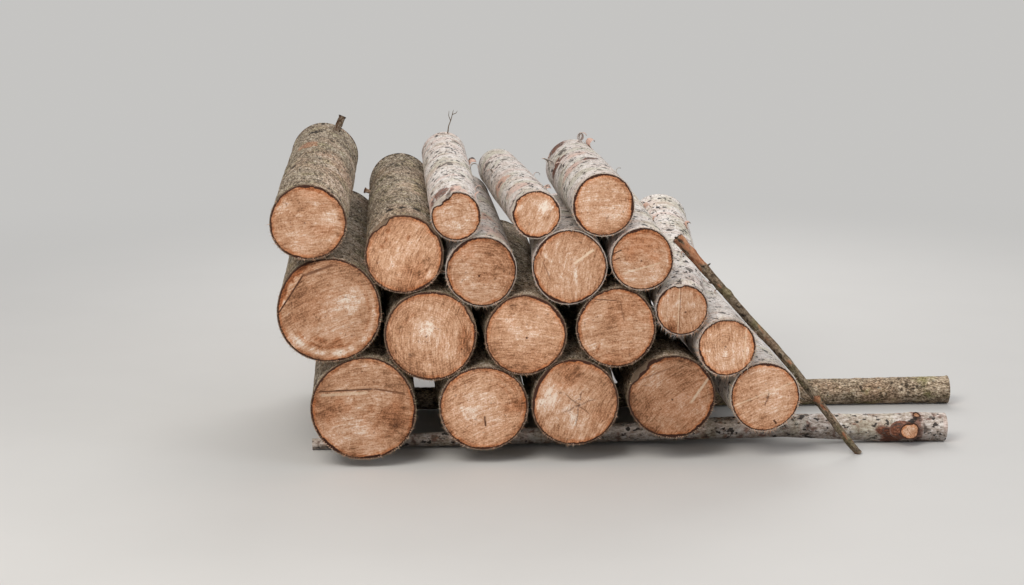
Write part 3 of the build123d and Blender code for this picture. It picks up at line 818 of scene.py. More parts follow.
# %% [markdown]
# ## Bark relief
# How far the bark stands below the outline of the solid. Spruce gets scales with gaps between them,
# birch only shallow waves, scars and the edges of peeled sheets. Nothing stands proud, so that
# neighbours still bear on each other without cutting in.

# %% Relief of the two barks
scale_width, small_scale_width = 0.017, 0.0085
wave_length = 0.07


def spruce_relief(points, seed):
    """How far the bark stands out, which is below 0, and the height that the finish reads."""
    gap, own = plates(points * (1.0, 0.42, 1.0), scale_width, seed)
    fine_gap, fine_own = plates(points * (1.0, 0.6, 1.0), small_scale_width, seed + 5)
    scale = smooth(gap, 0.02, 0.22)
    depth = 0.0012 * (1 - scale) + 0.0008 * (1 - smooth(fine_gap, 0.02, 0.25))
    depth += 0.0013 * own + 0.0006 * fine_own
    depth += 0.0012 * (1 + grain(points * (1, 0.4, 1), wave_length, seed + 9, 2))
    return -depth, np.clip(0.25 + 0.75 * scale - 0.3 * own + 0.15 * fine_own, 0, 1)


def birch_relief(points, seed):
    waves = grain(points * (1, 0.5, 1), 0.06, seed, 2)
    scars = smooth(grain(points * (0.8, 1.5, 0.8), 0.028, seed + 3, 2), 0.62, 0.85)
    sheets = smooth(grain(points * (0.4, 2.2, 0.4), 0.05, seed + 6, 2), 0.15, 0.22)
    depth = 0.0007 * (1 + waves) + 0.0012 * scars + 0.0006 * sheets
    return -depth, np.clip(1 - 0.9 * scars, 0, 1)


barks = {"spruce": (spruce_bark, spruce_relief), "birch": (birch_bark, birch_relief)}
for name, (_, relief_of) in barks.items():
    deepest = relief_of(np.random.default_rng(1).random((2000, 3)), 1)[0].min()
    print(name, "bark is up to", round(-1000 * deepest, 1), "mm deep")

# %% [markdown]
# ## Sawn ends
# Each end is a polar grid over the sawn face of the solid, with a few rings close together at the
# bark. A chainsaw leaves it slightly wavy, along strokes that bend a little, and never quite flat.

# %% Grid of a sawn end
bark_thickness = {"spruce": 0.0058, "birch": 0.0048}
stroke_bend = 1.1
rear_stroke_turn = 70
stroke_height, wave_height = 0.0006, 0.0007
crack_depth, bark_sunk = 0.003, 0.0007


class SawnEnd:
    def __init__(self, log, cut, front, rings, seed):
        self.log, self.cut, self.seed = log, cut, seed
        self.inward = 1 if front else -1
        self.edge = edge = 1 - bark_thickness[cut.bark] / log.radius
        shares = [*np.linspace(0, 0.9, rings) ** 0.85, 0.925, 0.96, edge, 0.65 * edge + 0.35, 1.0]
        self.shares = np.unique(shares)[:, None]
        self.y = face_depth(log, self.shares[:, 0], front)
        reach = log.reach(self.y)
        self.dx = self.shares * reach * log.cos
        self.dz = self.shares * reach * log.sin
        self.inset = reach - self.shares * reach
        self.x, self.z = self.dx / log.radius, self.dz / log.radius
        self.flat = np.stack([self.dx, np.full_like(self.dx, 7.0 * seed), self.dz], -1)
        self.rough = grain(self.flat, 0.022, seed + 4, 3)
        angle = math.radians(cut.saw + (0 if front else rear_stroke_turn))
        self.cos, self.sin = math.cos(angle), math.sin(angle)
        self.along = self.dx * self.cos + self.dz * self.sin
        self.over = self.dz * self.cos - self.dx * self.sin + stroke_bend * self.along**2

    def points(self, crack, torn):
        """The waves of the saw, the depth of the cracks, and bark that is torn back at the rim."""
        stroke_place = np.stack([self.over, self.along * 0.12, self.flat[..., 1]], -1)
        waves = stroke_height * grain(stroke_place, 0.012, self.seed + 1, 2)
        waves += wave_height * grain(self.flat, 0.05, self.seed + 2, 2)
        depth = waves * smooth(1 - self.shares, 0.0, 0.05) + crack_depth * crack
        in_bark = smooth(self.shares, self.edge - 0.002, self.edge + 0.002)
        depth += in_bark * (bark_sunk + torn * smooth(self.shares, self.edge, 1.0))
        x, z = self.log.middle(self.y)
        return np.stack([x + self.dx, self.y + self.inward * depth, z + self.dz], -1)

    def line(self, x0, z0, x1, z1):
        """How far each point is beside a line, how far along it as a share, and its length."""
        right, up, length = x1 - x0, z1 - z0, math.hypot(x1 - x0, z1 - z0)
        beside = ((self.x - x0) * up - (self.z - z0) * right) / length
        return beside, ((self.x - x0) * right + (self.z - z0) * up) / length**2, length


sample_end = SawnEnd(sample, cuts["second_row_log_1"], True, 12, 0)
print("rings and turns on a coarse front of second_row_log_1:", sample_end.dx.shape)

# %% [markdown]
# Wood dries from the ends, so it cracks there, outwards from the pith. The rear ends show only two
# plain cracks each.

# %% Drying cracks
crack_wander, crack_pitch = 0.0012, 160
crack_core, crack_edge = 0.0006, 0.0016


def drying_cracks(end, rows):
    total = np.zeros_like(end.dx)
    for direction, share, width in rows:
        cos, sin = math.cos(math.radians(direction)), math.sin(math.radians(direction))
        x, z = [end.log.radius * (v - p) for v, p in zip((end.x, end.z), end.cut.pith)]
        forward = x * cos + z * sin
        aside = np.abs(z * cos - x * sin + crack_wander * np.sin(forward * crack_pitch))
        length = share * end.log.radius
        inside = smooth(forward, 0.001, 0.004) * (1 - smooth(forward, 0.6 * length, length))
        across = 1 - smooth(aside, crack_core, crack_edge + width * crack_edge)
        total = np.maximum(total, min(1.0, 0.4 + width) * inside * across)
    return total


print(sum(len(own.cracks) for own in cuts.values()), "drying cracks on the fronts")

# %% [markdown]
# Soft spots, narrow marks and arcs are what is stained, pale or torn on a front. Where they
# overlap, the strongest one shows. All of them are frayed by the same roughness.

# %% Spots, marks and arcs
def strongest(end, rows, shape):
    return np.max([np.zeros_like(end.dx), *(shape(end, *row) for row in rows)], axis=0)


def spot(end, x, z, size, strength):
    """A soft oval, longer along the strokes of the saw."""
    right, up = end.x - x, end.z - z
    along, over = right * end.cos + up * end.sin, up * end.cos - right * end.sin
    away = np.hypot(along / 1.5, over) / size + 0.45 * end.rough
    return 0.75 * strength * (1 - smooth(away, 0.2, 1.15))


def mark(end, x0, z0, x1, z1, width, strength):
    """A narrow mark from one place to another."""
    beside, share, length = end.line(x0, z0, x1, z1)
    away = np.hypot(beside, (share - np.clip(share, 0, 1)) * length) + 0.018 * end.rough
    frayed = np.clip(0.75 + 0.7 * end.rough, 0, 1)
    return strength * frayed * (1 - smooth(away, width * 0.2, width * 1.6))


def arc(end, ring_share, turn_from, turn_to, width, strength):
    """Part of a ring, faded out towards both turns."""
    span = turn_to - turn_from
    off = np.abs((end.log.degrees - turn_from - span / 2 + 180) % 360 - 180)
    away = np.abs(end.shares - ring_share + 0.025 * end.rough)
    frayed = np.clip(0.8 + 0.6 * end.rough, 0, 1) * (1 - smooth(off, span * 0.3, span * 0.5))
    return strength * frayed * (1 - smooth(away, width * 0.4, width * 1.2))


def drawn_on(end, spots, marks, arcs):
    kinds = ((spots, spot), (marks, mark), (arcs, arc))
    return np.max([strongest(end, rows, shape) for rows, shape in kinds], axis=0)


sample_pale = drawn_on(sample_end, sample_end.cut.pale, [], sample_end.cut.pale_arcs)
print("mean paleness of that front", sample_pale.mean().round(3))

# %% [markdown]
# Some fronts were sawn in two strokes that didn't meet. A plane through the middle of the face
# tells which points lie behind the first stroke: those are paler, and a step that is deep enough
# has a brown line along it. One log also has a torn facet at its upper left, bounded by a line.

# %% Second stroke and facet
flat_share = 0.55
paler_from, paler_to = 0.0015, 0.004
line_from, line_behind, line_width = 0.0008, 0.0022, 0.0012
deep_step = 0.012


def second_stroke(end):
    """How pale each point is behind the first stroke, and the brown line along a deep step."""
    inner = end.shares[:, 0] < flat_share
    known = np.stack([end.dx[inner].ravel(), end.dz[inner].ravel(), np.ones(end.dx[inner].size)], 1)
    plane = np.linalg.lstsq(known, end.y[inner].ravel(), rcond=None)[0]
    behind = end.y - (plane[0] * end.dx + plane[1] * end.dz + plane[2])
    in_wood = end.shares < end.edge
    step = np.exp(-(((behind - line_behind) / line_width) ** 2)) * in_wood * (behind > line_from)
    paler = 0.55 * smooth(behind, paler_from, paler_to) * in_wood
    return paler, 0.8 * step * (behind.max() > deep_step)


def facet_on(end):
    """How far each point is past the edge of the torn facet, and how brown its rim is."""
    outside = smooth(0.03 * end.rough - end.line(*end.cut.facet)[0], 0.0, 0.05)
    near_bark = 1 - smooth(end.inset + 0.012 * end.rough, 0.014, 0.022)
    return outside, 1.5 * outside * near_bark


print("its facet takes", facet_on(sample_end)[0].mean().round(3), "of its points")

# %% [markdown]
# Both ends are laid by one function. Only the front gets its own marks; bites are places where
# the rim is torn away, which reads as dark bast and bark reaching further in.

# %% One sawn end
def lay_end(patch, log, cut, front, rings, torn, seed):
    end = SawnEnd(log, cut, front, rings, seed)
    rows = cut.cracks if front else ((seed * 47 % 360, 0.6, 0.5), (seed * 91 % 360, 0.4, 0.4))
    crack = drying_cracks(end, rows)
    points = end.points(crack, torn)
    paint = {}
    if front:
        crack = np.maximum(crack, strongest(end, cut.crack_marks, mark))
        behind, step = second_stroke(end)
        pale = np.maximum(drawn_on(end, cut.pale, cut.pale_marks, cut.pale_arcs), behind)
        stain = np.maximum(drawn_on(end, cut.stains, cut.stain_marks, cut.stain_arcs), step)
        for turn, depth_share, width in cut.bites:
            off = (log.degrees - turn + 180) % 360 - 180
            bite = np.exp(-((off / width) ** 4)) * (1 + 0.3 * end.rough)
            end.inset = end.inset - depth_share * log.radius * bite
        if cut.facet:
            outside, torn_rim = facet_on(end)
            pale, stain = np.maximum(pale, outside), np.maximum(stain, torn_rim)
        for number, (x0, z0, x1, z1, width, strength) in cut.lines.items():
            beside, share, _ = end.line(x0, z0, x1, z1)
            drawn = np.stack([beside / width, share, np.full_like(share, strength)], -1)
            paint["line_%d" % number] = drawn
        paint.update(pale=pale, stain=stain)
    from_pith = [end.dx - cut.pith[0] * log.radius, end.dz - cut.pith[1] * log.radius]
    patch.grid(
        points, 1, not front, **paint, crack=crack, rim=end.inset, rings=cut.rings,
        pith=np.stack([*from_pith, np.zeros_like(end.dx)], -1),
        saw=np.stack([end.over, end.along, np.full_like(end.dx, 3.0 * seed)], -1),
        tone=cut.tone, dot=cut.dot if front else 1.0, paper=1.0 if cut.bark == "birch" else 0.0)
    return points[-1]


print("its second stroke paints up to", second_stroke(sample_end)[0].max().round(2), "pale")

# %% [markdown]
# The saw also leaves torn fibres round the rim. They are thin three-sided spikes, each with its
# foot a little inside what it grows from. More of them hang on the lower half, where the chain
# leaves the log; half are bark and half are pale wood.

# %% Torn fibres
fibres_per_metre_of_radius = 1900
foot_depth = 0.002
from_rim = 0.0005, 0.004
fibre_length, extra_length = (0.002, 0.006), 0.012
fibre_width = 0.0004, 0.0011


def splinter(patch, root, way, length, width, kind, **paint):
    way = way / np.linalg.norm(way)
    side = np.cross(way, (0.3, 0.5, 0.81))
    side = side / np.linalg.norm(side)
    other = np.cross(way, side)
    foot = root - foot_depth * way
    base = [foot + width * (math.cos(t) * side + math.sin(t) * other) for t in (0.0, 2.1, 4.2)]
    faces = [(0, 1, 3), (1, 2, 3), (2, 0, 3), (2, 1, 0)]
    patch.add([*base, root + way * length], faces, kind, **paint)


def fringe(patch, log, cut, rim, seed):
    random = np.random.default_rng(seed)
    count = int(fibres_per_metre_of_radius * cut.fringe * log.radius)
    picks = random.integers(0, len(log.turns), count)
    more = random.integers(0, len(log.turns), count * 3)
    picks = np.concatenate([picks, more[log.sin[more] < -0.1][:count // 2]])
    count = len(picks)
    cos, sin = log.cos[picks], log.sin[picks]
    out = np.stack([cos, np.zeros(count), sin], 1)
    roots = rim[picks] - out * random.uniform(*from_rim, count)[:, None]
    swirl = random.normal(0, 0.8, count)
    back = random.uniform(-1.0, 0.1, count)
    ways = np.stack([cos - swirl * sin, back, sin + swirl * cos], 1)
    lengths = random.uniform(*fibre_length, count)
    lengths += extra_length * cut.fringe * random.random(count) ** 5
    widths = random.uniform(*fibre_width, count)
    of_bark = dict(kind=0, height=0.7, lay=(0.3 * seed, 0.1, 0.2), tone=0.85)
    of_wood = dict(kind=1, rim=0.03, pith=(0.05, 0.04, 0.0), saw=(0.2, 0.3, seed), tone=1.1,
                   pale=0.5)
    for k, spike in enumerate(zip(roots, ways, lengths, widths)):
        splinter(patch, *spike, **(of_bark if k < count // 2 else of_wood))


print("at least", int(fibres_per_metre_of_radius * sample.radius), "fibres on second_row_log_1")

# %% [markdown]
# The bark is one grid from rim to rim. It is paler where it was rubbed, on the upper right and in a
# collar behind the front, where handling knocked off its outer scales. Single patches are torn to
# brown bast, peeled pale, or sunk and dark.

# %% Bark of a log
rubbed_turn = math.radians(20)
collar_length = 0.034
fine_rows, usual_rows = 92, 58


def bark_paint(log, cut, place, behind, steps, height, seed):
    side = np.clip(np.cos(log.turns - rubbed_turn), 0, 1)
    rubbed = grain(place, 0.08, seed + 8, 2) + 0.55 - 0.4 * steps
    collar = np.exp(-behind / collar_length) * smooth(grain(place, 0.03, seed + 2, 2), -0.7, 0.3)
    if cut.bark == "spruce":
        pale = np.maximum(side * smooth(rubbed, 0.2, 0.9) * 0.6, 1.1 * collar)
    else:
        pale = 0.35 * collar
    torn_edge = 0.3 * grain(place, 0.014, seed + 6, 3)

    def patch_at(turn, distance, size, strength):
        off = np.radians((log.degrees - turn + 180) % 360 - 180) * log.radius
        away = np.hypot(off, (behind - distance) * 0.8) / size + torn_edge
        return strength * (1 - smooth(away, 0.7, 0.9))

    stain = np.zeros_like(pale)
    for row in cut.bark_pale:
        pale = np.maximum(pale, patch_at(*row))
    for row in cut.bark_torn:
        stain = np.maximum(stain, patch_at(*row))
    for row in cut.bark_dark:
        height = height * (1 - np.clip(patch_at(*row), 0, 1))
    return dict(height=height, pale=pale, stain=stain)


def lay_bark(patch, log, cut, front_rim, rear_rim, seed):
    evenly = np.linspace(0, 1, fine_rows if cut.fine else usual_rows)[1:-1]
    steps = np.array([0.0, 0.0015, 0.004, *evenly, 0.996, 0.9985, 1.0])[:, None]
    y = front_rim[:, 1] * (1 - steps) + rear_rim[:, 1] * steps
    x, z = log.middle(y)
    reach = log.reach(y)
    place = np.stack([reach * log.cos, y + seed, reach * log.sin], -1)
    relief, height = barks[cut.bark][1](place, seed)
    ends = smooth(steps, 0, 0.006) * smooth(1 - steps, 0, 0.006)
    reach = reach + relief * ends
    points = np.stack([x + reach * log.cos, y, z + reach * log.sin], -1)
    behind = y - front_rim[:, 1]
    paint = bark_paint(log, cut, place, behind, steps, height * (0.4 + 0.6 * ends), seed)
    patch.grid(points, 0, False, lay=place, tone=cut.bark_tone, **paint)


print(sum(len(own.bark_torn) + len(own.bark_dark) for own in cuts.values()), "torn or dark patches")

# %% [markdown]
# A log is dressed in one go: two ends with a ragged rim, the bark between the rims, and the torn
# fibres round the front. The piece takes the place of its solid.

# %% Dress the logs
fine_turns, usual_turns = 160, 132
front_rings, rear_rings = 30, 14
long_tears, short_tears = 0.004, 0.002


def dress_log(node, number):
    cut, seed = cuts[node], 11 * number
    log = Round(node, fine_turns if cut.fine else usual_turns)
    patch = Patchwork()
    flat_turn = np.full(len(log.turns), 0.4 * seed)
    ring = np.stack([log.cos * log.radius, flat_turn, log.sin * log.radius], 1)
    torn = np.clip(grain(ring, 0.02, seed, 2), 0, 1) * long_tears
    torn += np.clip(grain(ring, 0.006, seed + 1), 0, 1) * short_tears
    front_rim = lay_end(patch, log, cut, True, front_rings, torn, seed)
    rear_rim = lay_end(patch, log, cut, False, rear_rings, torn[::-1], seed + 3)
    lay_bark(patch, log, cut, front_rim, rear_rim, seed)
    fringe(patch, log, cut, front_rim, seed)
    materials = [barks[cut.bark][0], sawn_wood]
    patch.finish(node + "_timber", materials, cut.bark + "_log", [node])
    return log


logs = {node: dress_log(node, number) for number, node in enumerate(cuts, 1)}

# %% [markdown]
# ## Poles
# The two bearers and the leaning pole are read from their solids in the same way, but along their
# own middle lines. `Stick` keeps the sections square to the line.

# %% Stick shape
class Stick:
    def __init__(self, tree, path, around):
        self.path = np.array(path, float)
        self.turns = 2 * np.pi * np.arange(around) / around
        ways = np.gradient(self.path, axis=0)
        ways /= np.linalg.norm(ways, axis=1)[:, None]
        level = np.array((0.0, 1.0, 0.0))
        self.sides = level - (ways @ level)[:, None] * ways
        self.sides /= np.linalg.norm(self.sides, axis=1)[:, None]
        self.ups = np.cross(ways, self.sides)
        self.ups *= np.where(self.ups[:, 2:] < 0, -1, 1)
        steps = np.linalg.norm(np.diff(self.path, axis=0), axis=1)
        self.along = np.concatenate([[0.0], np.cumsum(steps)])
        if tree:
            self.read(tree)

    def read(self, tree):
        """Reach of the bark at each station; a ray that slips past an end takes the usual reach."""
        self.reaches = np.full((len(self.path), len(self.turns)), np.nan)
        for k, spot in enumerate(self.path):
            for j, turn in enumerate(self.turns):
                way = math.cos(turn) * self.sides[k] + math.sin(turn) * self.ups[k]
                hit = first_hit(tree, spot, way)
                if hit is not None:
                    self.reaches[k, j] = (hit - Vector(spot)).length
        usual = np.nanmedian(self.reaches, axis=1)[:, None]
        wild = np.isnan(self.reaches) | (self.reaches > 1.6 * usual)
        self.reaches = np.where(wild, usual, self.reaches)

    def taken(self, along, values):
        columns = [np.interp(along, self.along, column) for column in values.T]
        return np.stack(columns, 1)


upright = Stick(None, [(0, 0, 0), (0, 0, 0.5), (0, 0, 1)], 36)
print("sides of an upright stick point along", upright.sides[0])

# %% [markdown]
# `dress_stick` lays bark and two sawn ends over those sections. The bark's tone is painted darker
# on the underside, as painted shade with a ragged edge. A pole that lies on the floor has its foot
# flattened to it by a few tenths of a millimetre, so that nothing of it goes below.

# %% Dress a pole
floor_clearance = 0.0004
end_length = 0.006
end_sunk = 0.0008
end_shares = np.array([0.02, 0.2, 0.4, 0.6, 0.75, 0.88, 0.95, 1.0])[:, None]


def stick_end(patch, stick, ways, middle, inward, reach, outward, seed, paint, flat_foot):
    """One sawn end: rings of points from the middle to the bark, slightly sunk between."""
    out = end_shares * reach
    right, up = out * np.cos(stick.turns), out * np.sin(stick.turns)
    local = np.stack([right, np.full_like(out, seed), up], -1)
    sunk = end_sunk * (1 + grain(local, 0.01, seed, 2)) * (end_shares < 0.97)
    inward = inward / np.linalg.norm(inward)
    points = middle + end_shares[..., None] * ways + sunk[..., None] * inward
    if flat_foot:
        points[..., 2] = np.maximum(points[..., 2], floor_clearance)
    pith = np.stack([right, up, np.zeros_like(out)], -1)
    rim = reach - out + 0.002
    patch.grid(points, 1, outward, rim=rim, pith=pith, saw=local, rings=0.5, **paint)


def dress_stick(name, stick, materials, slot, replaced, rows, relief_of, seed, swell=None,
                stain=None, end_tone=0.8, flat_foot=False, bark_tone=1.0, shade=0.0, heart=1.0):
    length = stick.along[-1]
    evenly = np.linspace(end_length, length - end_length, rows)
    along = np.array([0.0, 0.002, *evenly, length - 0.002, length])
    middle, sides, ups, reach = [
        stick.taken(along, v) for v in (stick.path, stick.sides, stick.ups, stick.reaches)]
    cos, sin = np.cos(stick.turns), np.sin(stick.turns)
    behind = along[:, None] + 0 * reach
    place = np.stack([reach * cos, behind + seed, reach * sin], -1)
    relief, height = relief_of(place, seed)
    ends = smooth(behind, 0, end_length) * smooth(length - behind, 0, end_length)
    bark_reach = reach + relief * ends
    if swell:
        bark_reach = bark_reach + swell(behind, stick.turns)
    turned = cos[:, None] * sides[:, None] + sin[:, None] * ups[:, None]
    ways = bark_reach[..., None] * turned
    points = middle[:, None] + ways
    if flat_foot:
        points[..., 2] = np.maximum(points[..., 2], floor_clearance)
    patch = Patchwork()
    mirrored = np.cross(sides[0], ups[0]) @ (middle[-1] - middle[0]) > 0
    # Painted shade: the bark's tone goes down by up to `shade` on the underside, and noise frays
    # its edge
    dirt_and_shade = 0.25 * grain(place, 0.03, seed + 7, 3)
    under = 1 - smooth(sin + dirt_and_shade, -0.5, 0.65)
    patch.grid(points, 0, not mirrored, height=height, lay=place,
               tone=bark_tone * (1 - shade * under), stain=stain(place, behind) if stain else 0.0)
    paint = dict(tone=end_tone, dot=heart)
    for k, next_k in ((0, 1), (-1, -2)):
        inward = middle[next_k] - middle[k]
        stick_end(patch, stick, ways[k], middle[k], inward, bark_reach[k],
                  mirrored == (k == 0), seed, paint, flat_foot)
    patch.finish(name, materials, slot, replaced)


print("each end of a pole has", len(end_shares), "rings")

# %% [markdown]
# ## Bearers
# The front bearer is a bowed birch pole with two sawn branches near its thick end. The rear one is
# an older pole with brown bark and moss. Rays from above and below find their middle lines; the
# front one isn't read where the branches grow from it.

# %% Bearers
front_seat = -0.30
rear_seat = 0.15
branches_from_end = 0.188, 0.068
first_from_end, end_inset = 0.05, 0.001
bearer_turns = 72


def read_bearer(tree, node, y, places):
    low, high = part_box(node)
    path = []
    for x in (low.x + end_inset, *places, high.x - end_inset):
        top = first_hit(tree, (x, y, 1.0), (0, 0, -1))
        bottom = first_hit(tree, (x, y, -1.0), (0, 0, 1))
        path.append([x, y, (top.z + bottom.z) / 2])
    path = np.array(path)
    path[0, 0], path[-1, 0] = low.x, high.x
    inside = path.copy()
    inside[0, 0] += 2 * end_inset
    inside[-1, 0] -= 2 * end_inset
    stick = Stick(tree, inside, bearer_turns)
    stick.path[0], stick.path[-1] = path[0], path[-1]
    print(node, "is", round(stick.along[-1], 3), "m long")
    return stick


front_tree = solid_tree("front_bearer")
front_low, front_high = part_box("front_bearer")
branches_start, branches_end = [front_high.x - back for back in branches_from_end]
front_places = [*np.linspace(front_low.x + first_from_end, branches_start, 12), branches_end]
front_stick = read_bearer(front_tree, "front_bearer", front_seat, front_places)
rear_low, rear_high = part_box("rear_bearer")
rear_places = np.linspace(rear_low.x + first_from_end, rear_high.x - first_from_end, 8)
rear_stick = read_bearer(solid_tree("rear_bearer"), "rear_bearer", rear_seat, rear_places)

# %% [markdown]
# The front bearer has a stained collar round the branch, a low ridge beside it that is rubbed
# brown, and a torn place further along.

# %% Marks of the front bearer
collar_from_end, collar_width = 0.168, 0.048
rubbed_from_end, rubbed_width = 0.088, 0.020
torn_from_end, torn_width = 0.62, 0.15
facing_reach = 0.035
ridge_from_end, ridge_length, ridge_height = 0.103, 0.012, 0.003


def collar(place, along):
    from_end = front_stick.along[-1] - (place[..., 1] - place[0, 0, 1])
    rough = grain(place, 0.02, 5, 3)
    facing = smooth(-place[..., 0] / facing_reach + 0.25 * rough, 0.1, 0.6)
    facing = facing * (1 - smooth(place[..., 2] + 0.006 * rough, 0.004, 0.016))
    from_branch = np.abs(from_end - collar_from_end) / collar_width
    from_ridge = np.abs(from_end - rubbed_from_end) / rubbed_width
    branch = 1 - smooth(from_branch + 0.35 * rough, 0.6, 0.85)
    ridge = 1 - smooth(from_ridge + 0.3 * rough, 0.5, 0.9)
    further = rough + 0.3 * np.exp(-(((from_end - torn_from_end) / torn_width) ** 2))
    torn = smooth(further, 0.62, 0.8)
    return np.clip(np.max([branch * facing, 0.85 * ridge, 0.8 * torn], axis=0), 0, 1)


def branch_ridge(along, turns):
    off = (along - (front_stick.along[-1] - ridge_from_end)) / ridge_length
    return ridge_height * np.exp(-(off**2)) * (1 + 0.5 * np.sin(3 * turns))


dress_stick("front_bearer_timber", front_stick, [dirty_birch_bark, sawn_wood], "birch_log",
            ["front_bearer"], rows=300, relief_of=birch_relief, seed=301, swell=branch_ridge,
            stain=collar, flat_foot=True, bark_tone=1.12, shade=0.5)
dress_stick("rear_bearer_timber", rear_stick, [mossy_bark, sawn_wood], "mossy_pole",
            ["rear_bearer"], rows=240, relief_of=spruce_relief, seed=402, flat_foot=True,
            bark_tone=1.65, shade=0.45)

# %% [markdown]
# ## Sawn branches
# Short branch stumps: a slightly flared foot that grows out of the bark, and a sawn or broken end.
# A stump is a short stick that starts at the middle of what it grows on and reaches as far as the
# solid does. The large one on the bearer was cut close, so its foot is much wider on its left.

# %% One stump
stump_turns = 40
well_outside = 0.5


def stump(name, tree, foot, way, radius, bark, slot, seed, flare, tone, stained, length=None,
          bark_tone=1.0, wide=0.0):
    foot, way = np.array(foot, float), np.array(way, float)
    way = way / np.linalg.norm(way)
    if length is None:
        length = float((np.array(first_hit(tree, foot + well_outside * way, -way)) - foot) @ way)
    rise = np.linspace(0, 1, 9)[:, None]
    stick = Stick(None, foot + way * length * rise, stump_turns)
    to_left = -(stick.sides[0][0] * np.cos(stick.turns) + stick.ups[0][0] * np.sin(stick.turns))
    uneven = 0.04 * np.cos(3 * stick.turns + seed) + wide * np.clip(to_left, 0, 1) ** 2
    stick.reaches = radius * (1 + flare * (1 - smooth(rise, 0.35, 0.85)) + uneven)

    def red(place, along):
        return stained * smooth(along / length, 0.0, 0.5)

    dress_stick(name, stick, [bark, sawn_wood], slot, [], rows=40, relief_of=spruce_relief,
                seed=seed, stain=red, end_tone=tone, bark_tone=bark_tone, heart=0.0)
    print(name, "is", round(1000 * length), "mm from its middle to its end")


# %% [markdown]
# There are four: a large and a small branch on the front bearer, a stub near the rear end of the
# first top log, and a small one far back on the left side of the first log of the third row. The
# solids don't have the last one, so its length is given.

# %% Stumps and stubs
def leaning(degrees, forward):
    return math.cos(math.radians(degrees)), forward, math.sin(math.radians(degrees))


bearer_middle = 0.040
large_from_end, small_from_end = 0.140, 0.096
large_branch = (front_high.x - large_from_end, front_seat, bearer_middle)
small_branch = (front_high.x - small_from_end, front_seat, bearer_middle)
stump("large_branch_stump", front_tree, large_branch, (0.35, -0.9, 0.12), 0.0240,
      dirty_birch_bark, "birch_log", seed=11, flare=0.30, tone=1.05, stained=1.0, wide=0.85)
stump("small_branch_stump", front_tree, small_branch, (0.1, -0.45, 0.9), 0.0125,
      dirty_birch_bark, "birch_log", seed=12, flare=0.3, tone=0.85, stained=0.6)
top_log, side_log = logs["top_log_1"], logs["third_row_log_1"]
stub_from_rear, side_stub_from_front, side_stub_length = 0.085, 0.76, 0.011
top_stub = top_log.spot(float(top_log.high.y) - stub_from_rear)
stump("top_log_branch_stub", top_log.tree, top_stub, leaning(66, 0.2), 0.0130, spruce_bark,
      "spruce_log", seed=13, flare=0.25, tone=0.75, stained=0.25, bark_tone=0.45)
side_stub = side_log.spot(float(side_log.low.y) + side_stub_from_front)
stump("third_row_branch_stub", side_log.tree, side_stub, leaning(163, -0.25), 0.0095,
      spruce_bark, "spruce_log", seed=14, flare=0.35, tone=1.15, stained=0.3,
      length=side_log.radius + side_stub_length, bark_tone=1.3)

# %% [markdown]
# ## Leaning pole
# A thin crooked pole. The solid gives its bends: rays from both sides find its middle at many
# heights, and one more ray along it finds each tip. The reach of the bark is read a little inside
# the tips, where rays can't slip past them.

# %% Read the leaning pole
foot_margin, top_margin = 0.006, 0.028
pole_turns = 36
pole_tree = solid_tree("leaning_pole")
pole_low, pole_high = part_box("leaning_pole")
pole_y = (pole_low.y + pole_high.y) / 2
pole_path = []
for z in np.linspace(pole_low.z + foot_margin, pole_high.z - top_margin, 26):
    left = first_hit(pole_tree, (-3.0, pole_y, z), (1, 0, 0))
    right = first_hit(pole_tree, (3.0, pole_y, z), (-1, 0, 0))
    pole_path.append(((left.x + right.x) / 2, pole_y, z))
pole_path = np.array(pole_path)


def tip(end, inner):
    hit = first_hit(pole_tree, end, Vector(end - inner).normalized())
    return end if hit is None else np.array(hit)


pole_path = np.vstack([tip(pole_path[0], pole_path[1]), pole_path,
                       tip(pole_path[-1], pole_path[-2])])
inner_path = pole_path.copy()
inner_path[0] = pole_path[0] * 0.7 + pole_path[1] * 0.3
inner_path[-1] = pole_path[-1] * 0.9 + pole_path[-2] * 0.1
pole_stick = Stick(pole_tree, inner_path, pole_turns)
pole_stick.path = pole_path
pole_length = pole_stick.along[-1]
print("leaning_pole is", round(pole_length, 3), "m long")

# %% [markdown]
# Its knots are low bumps where twigs grew. Its bark is thin, nearly smooth and gone in places, all
# over the upper end and in one wound near the foot, down to orange wood.

# %% Dress the leaning pole
knots = [(0.985, 0.003, 1.0), (0.93, 0.0035, 2.6), (0.86, 0.002, 0.3), (0.74, 0.0025, 1.6),
         (0.55, 0.002, 3.5), (0.42, 0.0022, 0.6), (0.24, 0.003, 1.2), (0.12, 0.002, 4.0)]
knot_length = 0.012


def pole_knots(along, turns):
    total = np.zeros(along.shape)
    for share, rise, turn in knots:
        off = (along - share * pole_length) / knot_length
        total += rise * np.exp(-(off**2)) * (0.45 + 0.55 * np.cos(turns - turn))
    return total


def torn_bark(place, along):
    share = along / pole_length
    noise = grain(place * (1, 0.35, 1), 0.012, 77, 3)
    torn = smooth(1.5 * noise + 2.2 * smooth(share, 0.80, 0.90) - 1.45, -0.15, 0.15)
    wound = np.exp(-(((share - 0.25) / 0.010) ** 2))
    return np.clip(torn + smooth(wound + 0.8 * noise, 0.5, 0.8) * 0.9, 0, 1)


def thin_relief(points, seed):
    relief, height = spruce_relief(points, seed)
    return 0.35 * relief, height


pole_bark = make_spruce_bark("thin pole bark", dark_share=0.07, moss=0.2, contrast=0.45)
dress_stick("leaning_pole_timber", pole_stick, [pole_bark, sawn_wood], "thin_pole",
            ["leaning_pole"], rows=300, relief_of=thin_relief, seed=503, swell=pole_knots,
            stain=torn_bark, end_tone=0.7, flat_foot=True, shade=0.45)

